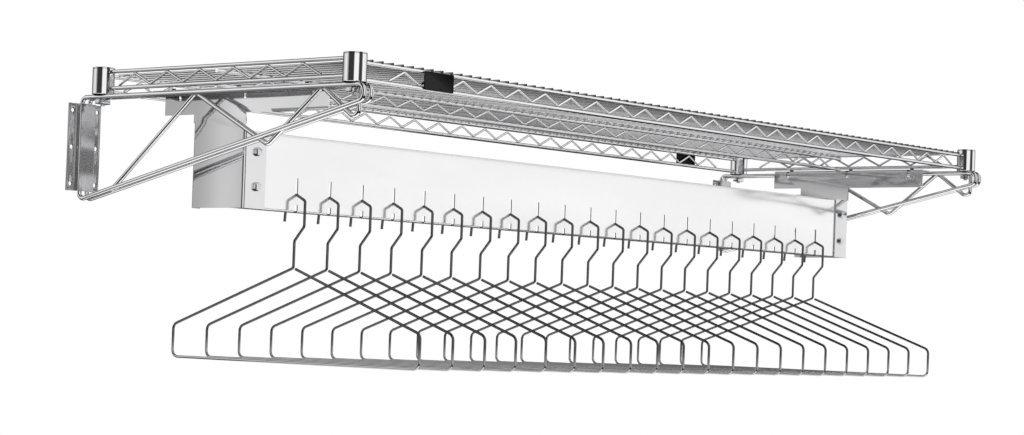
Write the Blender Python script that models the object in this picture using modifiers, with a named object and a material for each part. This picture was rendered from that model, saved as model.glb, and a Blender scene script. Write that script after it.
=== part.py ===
"""Wall-mounted garment rack: a welded wire shelf on two wall brackets, with a slotted
hanger panel under it and one wire hanger in each slot.

Everything is placed in rack coordinates: X along the rack from its middle, Y from the wall
(the room is at -Y), Z up from the middle of the wall channels. An empty carries the rack, so
that the world's origin is on the wall, at the back of the left channel's outer flange.
"""

import math

import bmesh
import bpy
from mathutils import Matrix, Vector

# Overall sizes
COLLAR_SPAN_X = 1.494
COLLAR_SPAN_Y = 0.427
REAR_COLLAR_OUT = 0.034

# Clearances and overruns
GAP = 0.0003
WELD_BITE = 0.001
CUT_OVERRUN = 0.002

# Wall channels
CHANNEL_HEIGHT = 0.112
CHANNEL_WIDTH = 0.0556
CHANNEL_SHEET = 0.0016
HAT_WIDTH = 0.028
SCREWS_PER_FLANGE = 3
SCREW_FROM_END = 0.009
SCREW_HOLE_R = 0.00275

# Bracket rods
ROD_R = 0.003
RAIL_Z = 0.064
LOOP_REACH = 0.021
LOOP_HEIGHT = 0.0176
LOOP_BEND_R = 0.009
BRACE_DROP = 0.1312
WALL_BEND_R = 0.0075
ZIGZAG_START_OUT = 0.0575
ZIGZAG_APEX_SHARES = (0.3934, 0.8852)
ZIGZAG_TURN_SHARE = 0.6862
ZIGZAG_TURN_DROP = 0.012
ZIGZAG_BEND_R = 0.008
ZIGZAG_RISER_OUT = 0.0091
ZIGZAG_RISER_DEPTH = 0.0433

# Corner collars and their clamps
COLLAR_R = 0.01415
COLLAR_WALL = 0.00165
COLLAR_HEIGHT = 0.0325
PLUG_FLANGE = 0.0015
PLUG_WALL = 0.0018
PLUG_DEPTH = 0.011
CLAMP_BOLT_R = 0.003
CLAMP_HEAD_R = 0.0055
CLAMP_HEAD_HEIGHT = 0.004
CLAMP_BLOCK = (0.0185, 0.010, 0.006)
CLAMP_BOLT_TAIL = 0.0022

# Shelf wires
TOP_WIRE_R = 0.0025
BOTTOM_WIRE_R = 0.0027
SNAKE_R = 0.0016
MAT_WIRE_R = 0.0016
MAT_WIRES = 79
MAT_FROM_COLLAR = 0.0286
MAT_OVERHANG = 0.0022
FRONT_TOP_Z = 0.0914
FRONT_BOTTOM_Z = 0.0711
SIDE_TOP_Z = 0.0958
SIDE_BOTTOM_Z = 0.0748
CENTRE_BOTTOM_Z = 0.0726
CENTRE_TRUSS_BEHIND_MIDDLE = 0.014
SNAKE_TURNS_X = 26
SNAKE_FROM_COLLAR_X = 0.0545
FRONT_SNAKE_SHIFT = 0.0063
CENTRE_SNAKE_SHIFT = 0.0125
REAR_SNAKE_SHIFT = -0.0175
SNAKE_TURNS_Y = 7
SNAKE_FROM_COLLAR_Y = 0.0416
SIDE_SNAKE_SHIFTS = {"left": 0.0115, "right": 0}

# Blank label tags
TAG_WIDTH = 0.0546
TAG_HEIGHT = 0.0222
TAG_THICKNESS = 0.0015
TAG_CORNER_R = 0.0016
FRONT_TAG_FROM_COLLAR = 0.149
REAR_TAG_FROM_COLLAR = 0.159

# Hanger panel
PANEL_BEFORE_MIDDLE = 0.0148
PANEL_HEIGHT = 0.0952
PANEL_DEPTH = 0.022
PANEL_SHEET = 0.0015
PANEL_BOTTOM_Z = -0.0762
HANGERS = 21
HANGER_FROM_COLLAR = 0.1234
SLOT_WIDTH = 0.0045
SLOT_HEIGHT = 0.0225
SLOT_FROM_BOTTOM = 0.0196
NOTCH_WIDTH = 0.0058
NOTCH_HEIGHT = 0.009

# End plates
PLATE_SHEET = 0.0016
PLATE_FROM_COLLAR = 0.0254
WING_FROM_FRONT_COLLAR = 0.062
WING_FROM_REAR_COLLAR = 0.0885
WING_HEIGHT = 0.029
WING_TOP_CLEARANCE = 0.0005
STEM_DEPTH = 0.088
FRONT_FLANGE = 0.0386
REAR_FLANGE = 0.015
REAR_FLANGE_DROP = 0.011
HEM_DEPTH = 0.008
HEM_FROM_STEM = 0.0418
TABS_PER_PLATE = 3
TAB_FROM_WING_END = 0.02575
TAB_WIDTH = 0.006
TAB_RISE = 0.003
TAB_OUT = 0.010
RELIEF_WIDTH = 0.005
RELIEF_HEIGHT = 0.0115

# Panel bolts
PANEL_BOLT_R = 0.0029
PANEL_BOLT_CLEARANCE = 0.0004
PANEL_BOLT_HEAD_R = 0.0055
PANEL_BOLT_HEAD = 0.004
PANEL_NUT = 0.005
PANEL_BOLT_TAIL = 0.003
PANEL_BOLT_FROM_EDGE = 0.0221
PANEL_BOLT_HEIGHTS = (0.027, 0.070)

# Hangers
HANGER_WIRE_R = 0.00175
HOOK_LEG_OUT = 0.0158
HOOK_TIP_OUT = 0.018
HOOK_CORNER_DROP = 0.0055
HOOK_TIP_DROP = 0.0313
HOOK_LEG_DROP = 0.0375
HOOK_JOG_DROP = 0.0557
NECK_DROP = 0.0893
SHOULDER_HALF = 0.2095
SHOULDER_DROP = 0.0763
HANGER_SIDE_END = 0.2075
HOOK_PEAK_R = 0.005
HOOK_CORNER_R = 0.004
JOG_BEND_R = 0.005
NECK_BEND_R = 0.004
CORNER_BEND_R = 0.009

# Counts that set how finely round shapes are cut
ROUND_WIRE_STEPS = 1
THIN_WIRE_STEPS = 0
ROD_BEND_STEPS = 3
HANGER_BEND_STEPS = 2
TAG_BEND_STEPS = 2
TURNED_STEPS = 16
ROUND_HOLE_SIDES = 12
HEX_SIDES = 6
FLAT_ANGLE = math.radians(0.1)

# Places worked out from the sizes above
COLLAR_X = COLLAR_SPAN_X / 2
REAR_Y = -REAR_COLLAR_OUT
FRONT_Y = REAR_Y - COLLAR_SPAN_Y
MIDDLE_Y = (FRONT_Y + REAR_Y) / 2
ROD_PITCH = 2 * ROD_R + GAP
ROD_WALL_Y = -(ROD_R + GAP)
HAT_DEPTH = CHANNEL_SHEET + 2 * ROD_R + 2 * GAP
FLANGE_CENTRE = (HAT_WIDTH + CHANNEL_WIDTH) / 4
SCREW_PITCH = (CHANNEL_HEIGHT - 2 * SCREW_FROM_END) / (SCREWS_PER_FLANGE - 1)
LOOP_Y = FRONT_Y - LOOP_REACH
RAIL_TOP = RAIL_Z + ROD_R
COLLAR_BOTTOM = RAIL_TOP + GAP
COLLAR_TOP = COLLAR_BOTTOM + COLLAR_HEIGHT
MAT_Z = FRONT_TOP_Z + TOP_WIRE_R + MAT_WIRE_R - WELD_BITE
MAT_PITCH = (COLLAR_SPAN_X - 2 * MAT_FROM_COLLAR) / (MAT_WIRES - 1)
SNAKE_PITCH_X = (COLLAR_SPAN_X - 2 * SNAKE_FROM_COLLAR_X) / (SNAKE_TURNS_X - 1)
SNAKE_PITCH_Y = (COLLAR_SPAN_Y - 2 * SNAKE_FROM_COLLAR_Y) / (SNAKE_TURNS_Y - 1)
HANGER_PITCH = (COLLAR_SPAN_X - 2 * HANGER_FROM_COLLAR) / (HANGERS - 1)
COLLAR_CLEAR = COLLAR_R + GAP
PANEL_FRONT_Y = MIDDLE_Y - PANEL_BEFORE_MIDDLE
PANEL_BACK_Y = PANEL_FRONT_Y + PANEL_SHEET
PANEL_TOP_Z = PANEL_BOTTOM_Z + PANEL_HEIGHT
PLATE_X = COLLAR_X - PLATE_FROM_COLLAR
PANEL_HALF = PLATE_X - PLATE_SHEET - GAP
SLOT_BOTTOM_Z = PANEL_BOTTOM_Z + SLOT_FROM_BOTTOM
HOOK_SEAT = HOOK_PEAK_R - HANGER_WIRE_R - GAP
PIVOT_Y = (PANEL_FRONT_Y + PANEL_BACK_Y) / 2
PIVOT_Z = SLOT_BOTTOM_Z - HOOK_SEAT
SIDES = (("left", -1), ("right", 1))
CORNERS = [
    (f"{row}_{side}", sign * COLLAR_X, y)
    for side, sign in SIDES
    for row, y in (("front", FRONT_Y), ("rear", REAR_Y))
]


def clear_scene():
    for obj in list(bpy.data.objects):
        bpy.data.objects.remove(obj, do_unlink=True)


def new_collection(name):
    collection = bpy.data.collections.new(name)
    bpy.context.scene.collection.children.link(collection)
    return collection


def new_material(name, colour, roughness, metallic):
    material = bpy.data.materials.new(name)
    material.use_nodes = True
    shader = material.node_tree.nodes["Principled BSDF"]
    shader.inputs["Base Color"].default_value = (*colour, 1.0)
    shader.inputs["Roughness"].default_value = roughness
    shader.inputs["Metallic"].default_value = metallic
    return material


def add_object(name, data, material=None):
    """A piece of the rack where a material is given, or a hidden helper."""
    obj = bpy.data.objects.new(name, data)
    if material is None:
        cutters.objects.link(obj)
        obj.hide_render = True
        obj.display_type = "WIRE"
    else:
        parts.objects.link(obj)
        data.materials.append(material)
    obj.parent = rack
    return obj


# Paths of bent wire


def rounded_path(corners, radii, steps, closed=False):
    """Points along straight runs between the corners, with an arc of some steps in each bend."""
    count = len(corners)
    points = []
    for index, corner in enumerate(corners):
        radius = radii[index]
        if radius == 0:
            points.append(corner.copy())
            continue
        to_last = (corners[index - 1] - corner).normalized()
        to_next = (corners[(index + 1) % count] - corner).normalized()
        half_angle = to_last.angle(to_next) / 2
        bisector = (to_last + to_next).normalized()
        centre = corner + bisector * (radius / math.sin(half_angle))
        first = corner + to_last * (radius / math.tan(half_angle)) - centre
        last = corner + to_next * (radius / math.tan(half_angle)) - centre
        sweep = first.angle(last)
        for step in range(steps + 1):
            share = step / steps
            spoke = first * math.sin((1 - share) * sweep) + last * math.sin(share * sweep)
            points.append(centre + spoke / math.sin(sweep))
    return points


def wire_curve(name, paths, radius, resolution, material=None, closed=False):
    """Round wires of one radius, one for each path."""
    curve = bpy.data.curves.new(name, "CURVE")
    curve.dimensions = "3D"
    curve.bevel_depth = radius
    curve.bevel_resolution = resolution
    curve.use_fill_caps = not closed
    for path in paths:
        spline = curve.splines.new("POLY")
        spline.points.add(len(path) - 1)
        for point, place in zip(spline.points, path):
            point.co = (*place, 1.0)
        spline.use_cyclic_u = closed
    return add_object(name, curve, material)


def as_mesh(curve_object, name, material=None):
    """The curve's evaluated shape as a welded mesh object in place of the curve.

    Triangles in one plane are joined, so that a flat end is one face.
    """
    graph = bpy.context.evaluated_depsgraph_get()
    mesh = bpy.data.meshes.new_from_object(curve_object.evaluated_get(graph))
    mesh.materials.clear()
    shape = bmesh.new()
    shape.from_mesh(mesh)
    bmesh.ops.remove_doubles(shape, verts=shape.verts, dist=GAP / 100)
    bmesh.ops.dissolve_limit(
        shape, angle_limit=FLAT_ANGLE, verts=shape.verts, edges=shape.edges
    )
    bmesh.ops.recalc_face_normals(shape, faces=shape.faces)
    shape.to_mesh(mesh)
    shape.free()
    place = curve_object.matrix_basis.copy()
    bpy.data.objects.remove(curve_object, do_unlink=True)
    obj = add_object(name, mesh, material)
    obj.matrix_basis = place
    return obj


def combine(obj, other, operation):
    modifier = obj.modifiers.new(other.name, "BOOLEAN")
    modifier.operation = operation
    modifier.object = other


def welded_wires(name, groups, material):
    """One solid from groups of wires, each group being (paths, radius, resolution)."""
    meshes = []
    for index, (paths, radius, resolution) in enumerate(groups):
        curve = wire_curve(f"{name}_wires_{index}", paths, radius, resolution)
        own_name = name if index == 0 else f"{name}_weld_{index}"
        meshes.append(as_mesh(curve, own_name, material if index == 0 else None))
    for other in meshes[1:]:
        combine(meshes[0], other, "UNION")
    return meshes[0]


# Plain shapes


def box(name, low, high, material=None):
    mesh = bpy.data.meshes.new(name)
    shape = bmesh.new()
    size = [b - a for a, b in zip(low, high)]
    middle = [(a + b) / 2 for a, b in zip(low, high)]
    place = Matrix.Translation(middle) @ Matrix.Diagonal((*size, 1))
    bmesh.ops.create_cube(shape, size=1, matrix=place)
    shape.to_mesh(mesh)
    shape.free()
    return add_object(name, mesh, material)


def cylinder(name, radius, start, end, sides, material=None):
    """A cylinder or prism between two points."""
    mesh = bpy.data.meshes.new(name)
    shape = bmesh.new()
    run = Vector(end) - Vector(start)
    turn = run.to_track_quat("Z", "Y").to_matrix().to_4x4()
    place = Matrix.Translation((Vector(start) + Vector(end)) / 2) @ turn
    bmesh.ops.create_cone(
        shape, cap_ends=True, segments=sides, radius1=radius, radius2=radius,
        depth=run.length, matrix=place,
    )
    shape.to_mesh(mesh)
    shape.free()
    return add_object(name, mesh, material)


def extrusion(name, outline, thickness, turn, place, material=None):
    """A flat outline given thickness, turned and placed, as a mesh."""
    curve = bpy.data.curves.new(name, "CURVE")
    curve.dimensions = "2D"
    curve.fill_mode = "BOTH"
    curve.extrude = thickness / 2
    spline = curve.splines.new("POLY")
    spline.points.add(len(outline) - 1)
    for point, (across, up) in zip(spline.points, outline):
        point.co = (across, up, 0, 1.0)
    spline.use_cyclic_u = True
    helper = add_object(f"{name}_outline", curve)
    helper.rotation_euler = turn
    helper.location = place
    bpy.context.view_layer.update()
    return as_mesh(helper, name, material)


ALONG_X = (math.pi / 2, 0, math.pi / 2)
ALONG_Y = (math.pi / 2, 0, 0)
ALONG_Z = (0, 0, 0)


def turned(name, profile, material):
    """A ring or cup from a closed profile of (radius, height) that runs down its outer side."""
    mesh = bpy.data.meshes.new(name)
    count = len(profile)
    mesh.from_pydata(
        [(radius, 0, height) for radius, height in profile],
        [(index, (index + 1) % count) for index in range(count)],
        [],
    )
    obj = add_object(name, mesh, material)
    screw = obj.modifiers.new("turn", "SCREW")
    screw.steps = TURNED_STEPS
    screw.render_steps = TURNED_STEPS
    screw.use_merge_vertices = True
    screw.merge_threshold = GAP / 10
    return obj


# Wall brackets


def make_channel(side, sign):
    half = CHANNEL_WIDTH / 2
    hat = HAT_WIDTH / 2
    inner = hat - CHANNEL_SHEET
    right_half = [
        (hat, -HAT_DEPTH), (hat, -CHANNEL_SHEET), (half, -CHANNEL_SHEET), (half, 0),
        (inner, 0), (inner, CHANNEL_SHEET - HAT_DEPTH),
    ]
    left_half = [(-across, out) for across, out in reversed(right_half)]
    name = f"wall_channel_{side}"
    channel = extrusion(
        name, right_half + left_half, CHANNEL_HEIGHT, ALONG_Z, (sign * COLLAR_X, 0, 0), steel
    )
    for row in range(SCREWS_PER_FLANGE):
        height = (row - (SCREWS_PER_FLANGE - 1) / 2) * SCREW_PITCH
        for flange in (-1, 1):
            x = flange * FLANGE_CENTRE
            cutter = cylinder(
                f"{name}_hole_{row}_{flange}", SCREW_HOLE_R,
                (x, CUT_OVERRUN, height), (x, -CHANNEL_SHEET - CUT_OVERRUN, height),
                ROUND_HOLE_SIDES,
            )
            cutter.location.x = sign * COLLAR_X
            combine(channel, cutter, "DIFFERENCE")


def brace_z(y):
    """Height of the brace's centre line at a place out from the wall."""
    start_z = RAIL_Z - LOOP_HEIGHT
    share = (y - LOOP_Y) / (ROD_WALL_Y - LOOP_Y)
    return start_z + share * (RAIL_Z - BRACE_DROP - start_z)


def make_frame_rods(side, x):
    corners = [
        Vector((0, ROD_WALL_Y, RAIL_Z)),
        Vector((0, LOOP_Y, RAIL_Z)),
        Vector((0, LOOP_Y, brace_z(LOOP_Y))),
        Vector((0, ROD_WALL_Y, brace_z(ROD_WALL_Y))),
    ]
    radii = (WALL_BEND_R, LOOP_BEND_R, LOOP_BEND_R, WALL_BEND_R)
    path = rounded_path(corners, radii, ROD_BEND_STEPS, closed=True)
    outward = math.copysign(ROD_PITCH, x)
    for place, offset in (("outer", outward), ("inner", -outward)):
        name = f"bracket_rod_{side}_{place}"
        rod = wire_curve(name, [path], ROD_R, ROUND_WIRE_STEPS, steel, closed=True)
        rod.location.x = x + offset


def make_zigzag(side, x):
    riser_y = FRONT_Y - ZIGZAG_RISER_OUT
    first_apex, last_apex = (REAR_Y - share * COLLAR_SPAN_Y for share in ZIGZAG_APEX_SHARES)
    turn_y = REAR_Y - ZIGZAG_TURN_SHARE * COLLAR_SPAN_Y
    corners = [
        Vector((0, -ZIGZAG_START_OUT, brace_z(-ZIGZAG_START_OUT))),
        Vector((0, first_apex, RAIL_Z)),
        Vector((0, turn_y, brace_z(turn_y) - ZIGZAG_TURN_DROP)),
        Vector((0, last_apex, RAIL_Z)),
        Vector((0, riser_y, RAIL_Z - ZIGZAG_RISER_DEPTH)),
        Vector((0, riser_y, RAIL_Z - ROD_R)),
    ]
    bend = ZIGZAG_BEND_R
    path = rounded_path(corners, (0, bend, bend, bend, bend, 0), ROD_BEND_STEPS)
    rod = wire_curve(f"bracket_zigzag_{side}", [path], ROD_R, ROUND_WIRE_STEPS, steel)
    rod.location.x = x


# Corner collars and clamps


def make_corner(corner, x, y):
    inner = COLLAR_R - COLLAR_WALL
    collar = turned(
        f"collar_{corner}",
        [(COLLAR_R, COLLAR_HEIGHT), (COLLAR_R, 0), (inner, 0), (inner, COLLAR_HEIGHT)],
        steel,
    )
    collar.location = (x, y, COLLAR_BOTTOM)

    spigot = inner - GAP
    bore = CLAMP_BOLT_R + GAP
    cup = spigot - PLUG_WALL
    plug = turned(
        f"collar_plug_{corner}",
        [
            (COLLAR_R, PLUG_FLANGE), (COLLAR_R, 0), (spigot, 0), (spigot, -PLUG_DEPTH),
            (bore, -PLUG_DEPTH), (bore, PLUG_WALL - PLUG_DEPTH), (cup, PLUG_WALL - PLUG_DEPTH),
            (cup, PLUG_FLANGE),
        ],
        zinc,
    )
    plug_z = COLLAR_TOP + GAP
    plug.location = (x, y, plug_z)

    block_top = RAIL_Z - ROD_R - GAP
    width, depth, height = CLAMP_BLOCK
    block = box(
        f"clamp_block_{corner}", (-width / 2, -depth / 2, -height), (width / 2, depth / 2, 0), zinc
    )
    block.location = (x, y, block_top)
    hole = cylinder(
        f"clamp_block_{corner}_hole", bore, (0, 0, CUT_OVERRUN), (0, 0, -height - CUT_OVERRUN),
        ROUND_HOLE_SIDES,
    )
    hole.location = block.location
    combine(block, hole, "DIFFERENCE")

    head_z = plug_z - PLUG_DEPTH + PLUG_WALL + GAP
    tail_z = block_top - height - CLAMP_BOLT_TAIL
    bolt = cylinder(
        f"clamp_bolt_{corner}", CLAMP_BOLT_R, (0, 0, tail_z - head_z), (0, 0, WELD_BITE),
        ROUND_HOLE_SIDES, zinc,
    )
    head = cylinder(
        f"clamp_bolt_{corner}_head", CLAMP_HEAD_R, (0, 0, 0), (0, 0, CLAMP_HEAD_HEIGHT), HEX_SIDES
    )
    bolt.location = (x, y, head_z)
    head.location = bolt.location
    combine(bolt, head, "UNION")


# Shelf


def snake_path(turns, pitch, shift, top_z, bottom_z):
    """A zigzag wire along X about its shifted middle, which starts and ends at the bottom."""
    path = []
    for turn in range(2 * turns - 1):
        height = top_z if turn % 2 else bottom_z
        path.append(Vector((shift + (turn - (turns - 1)) * pitch / 2, 0, height)))
    return path


def straight(half_length, height):
    return [Vector((-half_length, 0, height)), Vector((half_length, 0, height))]


def snake_levels(top_z, bottom_z, welded_top):
    """Heights of the snake's turns: welded to the bottom wire, and to the top one or just clear."""
    top_reach = TOP_WIRE_R + SNAKE_R + (-WELD_BITE if welded_top else GAP)
    return top_z - top_reach, bottom_z + BOTTOM_WIRE_R + SNAKE_R - WELD_BITE


def make_deck():
    """The mat of cross wires, welded onto the front and rear top wires."""
    mat = []
    for index in range(MAT_WIRES):
        x = (index - (MAT_WIRES - 1) / 2) * MAT_PITCH
        mat.append([
            Vector((x, FRONT_Y - MAT_OVERHANG, MAT_Z)),
            Vector((x, REAR_Y + MAT_OVERHANG, MAT_Z)),
        ])
    half = COLLAR_X - COLLAR_CLEAR
    rims = [
        [point + Vector((0, y, 0)) for point in straight(half, FRONT_TOP_Z)]
        for y in (FRONT_Y, REAR_Y)
    ]
    groups = [(mat, MAT_WIRE_R, THIN_WIRE_STEPS), (rims, TOP_WIRE_R, ROUND_WIRE_STEPS)]
    welded_wires("shelf_deck", groups, steel)


def make_rim_truss(name, y, shift):
    """The bottom wire and snake under the front or rear top wire."""
    levels = snake_levels(FRONT_TOP_Z, FRONT_BOTTOM_Z, welded_top=False)
    truss = welded_wires(
        name,
        [
            ([straight(COLLAR_X - COLLAR_CLEAR, FRONT_BOTTOM_Z)], BOTTOM_WIRE_R, ROUND_WIRE_STEPS),
            ([snake_path(SNAKE_TURNS_X, SNAKE_PITCH_X, shift, *levels)], SNAKE_R, THIN_WIRE_STEPS),
        ],
        steel,
    )
    shift_with_welds(truss, Vector((0, y, 0)), ALONG_Z)


def make_centre_truss():
    top_z = MAT_Z - MAT_WIRE_R - GAP - TOP_WIRE_R
    levels = snake_levels(top_z, CENTRE_BOTTOM_Z, welded_top=True)
    half = COLLAR_X - BOTTOM_WIRE_R - GAP
    snake = snake_path(SNAKE_TURNS_X, SNAKE_PITCH_X, CENTRE_SNAKE_SHIFT, *levels)
    truss = welded_wires(
        "centre_truss",
        [
            ([straight(half, CENTRE_BOTTOM_Z)], BOTTOM_WIRE_R, ROUND_WIRE_STEPS),
            ([straight(half, top_z)], TOP_WIRE_R, ROUND_WIRE_STEPS),
            ([snake], SNAKE_R, THIN_WIRE_STEPS),
        ],
        steel,
    )
    shift_with_welds(truss, Vector((0, MIDDLE_Y + CENTRE_TRUSS_BEHIND_MIDDLE, 0)), ALONG_Z)


def make_side_truss(side, sign):
    levels = snake_levels(SIDE_TOP_Z, SIDE_BOTTOM_Z, welded_top=True)
    half = COLLAR_SPAN_Y / 2 - COLLAR_CLEAR
    snake = snake_path(SNAKE_TURNS_Y, SNAKE_PITCH_Y, SIDE_SNAKE_SHIFTS[side], *levels)
    truss = welded_wires(
        f"{side}_truss",
        [
            ([straight(half, SIDE_BOTTOM_Z)], BOTTOM_WIRE_R, ROUND_WIRE_STEPS),
            ([straight(half, SIDE_TOP_Z)], TOP_WIRE_R, ROUND_WIRE_STEPS),
            ([snake], SNAKE_R, THIN_WIRE_STEPS),
        ],
        steel,
    )
    middle = Vector((sign * COLLAR_X, MIDDLE_Y, 0))
    shift_with_welds(truss, middle, (0, 0, math.pi / 2))


def shift_with_welds(obj, place, turn):
    """Moves a welded piece together with the wires that its weld joins read."""
    for piece in [obj] + [modifier.object for modifier in obj.modifiers]:
        piece.location = place
        piece.rotation_euler = turn


def rounded_rectangle(width, height, radius):
    corners = [
        Vector((across * width / 2, up * height / 2, 0))
        for across, up in ((-1, -1), (1, -1), (1, 1), (-1, 1))
    ]
    radii = [radius] * len(corners)
    path = rounded_path(corners, radii, TAG_BEND_STEPS, closed=True)
    return [(point.x, point.y) for point in path]


def make_tag(name, x, y):
    """A blank label tag that covers the truss from wire to wire."""
    outline = rounded_rectangle(TAG_WIDTH, TAG_HEIGHT, TAG_CORNER_R)
    middle = (FRONT_TOP_Z + FRONT_BOTTOM_Z) / 2
    extrusion(name, outline, TAG_THICKNESS, ALONG_Y, (x, y, middle), black)


def make_tags():
    out = BOTTOM_WIRE_R + GAP + TAG_THICKNESS / 2
    make_tag("front_tag", -COLLAR_X + FRONT_TAG_FROM_COLLAR, FRONT_Y - out)
    make_tag("rear_tag", COLLAR_X - REAR_TAG_FROM_COLLAR, REAR_Y + out)


# Hanger panel and its end plates


def hanger_x(index):
    return (index - (HANGERS - 1) / 2) * HANGER_PITCH


def make_panel():
    front, back, rear = PANEL_FRONT_Y, PANEL_BACK_Y, PANEL_FRONT_Y + PANEL_DEPTH
    low, high = PANEL_BOTTOM_Z, PANEL_TOP_Z
    outline = [
        (front, low), (rear, low), (rear, low + PANEL_SHEET), (back, low + PANEL_SHEET),
        (back, high - PANEL_SHEET), (rear, high - PANEL_SHEET), (rear, high), (front, high),
    ]
    panel = extrusion("hanger_panel", outline, 2 * PANEL_HALF, ALONG_X, (0, 0, 0), stainless)
    openings = (
        ("slot", SLOT_WIDTH, SLOT_BOTTOM_Z, SLOT_BOTTOM_Z + SLOT_HEIGHT, back + CUT_OVERRUN),
        ("notch", NOTCH_WIDTH, low - CUT_OVERRUN, low + NOTCH_HEIGHT, rear + CUT_OVERRUN),
    )
    for kind, width, bottom, top, deep in openings:
        for index in range(HANGERS):
            x = hanger_x(index)
            cutter = box(
                f"panel_{kind}_{index + 1:02d}",
                (x - width / 2, front - CUT_OVERRUN, bottom), (x + width / 2, deep, top),
            )
            combine(panel, cutter, "DIFFERENCE")
    cut_bolt_holes(panel, SIDES)


def cut_bolt_holes(obj, sides):
    for side, sign in sides:
        for height in PANEL_BOLT_HEIGHTS:
            x = sign * (PLATE_X - PANEL_BOLT_FROM_EDGE)
            z = PANEL_BOTTOM_Z + height
            cutter = cylinder(
                f"{obj.name}_bolt_hole_{side}", PANEL_BOLT_R + PANEL_BOLT_CLEARANCE,
                (x, PANEL_FRONT_Y - PLATE_SHEET - GAP - CUT_OVERRUN, z),
                (x, PANEL_BACK_Y + CUT_OVERRUN, z), ROUND_HOLE_SIDES,
            )
            combine(obj, cutter, "DIFFERENCE")


def plate_span(sign, inner, outer):
    """X limits of a piece that lies between two places measured out from the middle."""
    return sorted((sign * inner, sign * outer))


def plate_box(name, sign, across, out, up, material=None):
    near, far = plate_span(sign, *across)
    return box(name, (near, out[0], up[0]), (far, out[1], up[1]), material)


def make_end_plate(side, sign):
    """A tee-shaped plate: its top flange lies on the bracket's rod, its stem carries the panel."""
    name = f"end_plate_{side}"
    flange_y = PANEL_FRONT_Y - GAP - PLATE_SHEET
    wing_rear = REAR_Y - WING_FROM_REAR_COLLAR
    wing_front = FRONT_Y + WING_FROM_FRONT_COLLAR
    stem_rear = PANEL_FRONT_Y + STEM_DEPTH
    top = RAIL_TOP + WING_TOP_CLEARANCE + PLATE_SHEET
    wing_low = top - WING_HEIGHT
    inner = PLATE_X - PLATE_SHEET
    plate = plate_box(
        name, sign, (inner, PLATE_X), (wing_front, wing_rear), (wing_low, top), stainless
    )

    flange_end = COLLAR_X - BOTTOM_WIRE_R - GAP
    pieces = [
        plate_box(
            f"{name}_stem", sign, (inner, PLATE_X), (flange_y, stem_rear),
            (PANEL_BOTTOM_Z, wing_low + WELD_BITE),
        ),
        plate_box(
            f"{name}_front_flange", sign, (PLATE_X - FRONT_FLANGE, PLATE_X - PLATE_SHEET / 2),
            (flange_y, flange_y + PLATE_SHEET), (PANEL_BOTTOM_Z, PANEL_TOP_Z),
        ),
        plate_box(
            f"{name}_top_flange", sign, (PLATE_X - PLATE_SHEET / 2, flange_end),
            (wing_front, wing_rear), (top - PLATE_SHEET, top),
        ),
        plate_box(
            f"{name}_hem", sign, (inner - HEM_DEPTH, PLATE_X - PLATE_SHEET / 2),
            (wing_front, flange_y - HEM_FROM_STEM), (wing_low, wing_low + PLATE_SHEET),
        ),
    ]
    reliefs = []
    first_tab = wing_front + TAB_FROM_WING_END
    tab_pitch = (wing_rear - TAB_FROM_WING_END - first_tab) / (TABS_PER_PLATE - 1)
    for index in range(TABS_PER_PLATE):
        y = first_tab + index * tab_pitch
        tab_in = PLATE_X + TAB_OUT
        pieces.append(plate_box(
            f"{name}_tab_{index}", sign, (tab_in, tab_in + PLATE_SHEET),
            (y - TAB_WIDTH / 2, y + TAB_WIDTH / 2), (top - PLATE_SHEET / 2, top + TAB_RISE),
        ))
        relief = plate_box(
            f"{name}_relief_{index}", sign, (inner - CUT_OVERRUN, PLATE_X + CUT_OVERRUN),
            (y - RELIEF_WIDTH / 2, y + RELIEF_WIDTH / 2), (top - RELIEF_HEIGHT, top + CUT_OVERRUN),
        )
        reliefs.append(relief)
    flange_in, flange_out = plate_span(sign, PLATE_X - REAR_FLANGE, PLATE_X - PLATE_SHEET / 2)
    slope_top = wing_low - REAR_FLANGE_DROP
    slope_low = slope_top - REAR_FLANGE
    tops = (slope_low, slope_top) if sign > 0 else (slope_top, slope_low)
    rear_outline = [
        (flange_in, PANEL_BOTTOM_Z), (flange_out, PANEL_BOTTOM_Z),
        (flange_out, tops[1]), (flange_in, tops[0]),
    ]
    pieces.append(extrusion(
        f"{name}_rear_flange", rear_outline, PLATE_SHEET, ALONG_Y,
        (0, stem_rear - PLATE_SHEET / 2, 0),
    ))
    for piece in pieces:
        combine(plate, piece, "UNION")
    for relief in reliefs:
        combine(plate, relief, "DIFFERENCE")
    cut_bolt_holes(plate, [(side, sign)])


def make_panel_bolts():
    """Hex bolts through the end plates' front flanges and the panel, each with its nut run on."""
    head_back = PANEL_FRONT_Y - PLATE_SHEET - 2 * GAP
    nut_front = PANEL_BACK_Y + GAP
    for side, sign in SIDES:
        for place, height in zip(("lower", "upper"), PANEL_BOLT_HEIGHTS):
            x = sign * (PLATE_X - PANEL_BOLT_FROM_EDGE)
            z = PANEL_BOTTOM_Z + height
            name = f"panel_bolt_{side}_{place}"
            bolt = cylinder(
                name, PANEL_BOLT_R, (x, head_back - WELD_BITE, z),
                (x, nut_front + PANEL_NUT + PANEL_BOLT_TAIL, z), ROUND_HOLE_SIDES, zinc,
            )
            for piece, start, end in (
                ("head", head_back - PANEL_BOLT_HEAD, head_back),
                ("nut", nut_front, nut_front + PANEL_NUT),
            ):
                hexagon = cylinder(
                    f"{name}_{piece}", PANEL_BOLT_HEAD_R, (x, start, z), (x, end, z), HEX_SIDES
                )
                combine(bolt, hexagon, "UNION")


# Hangers


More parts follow.
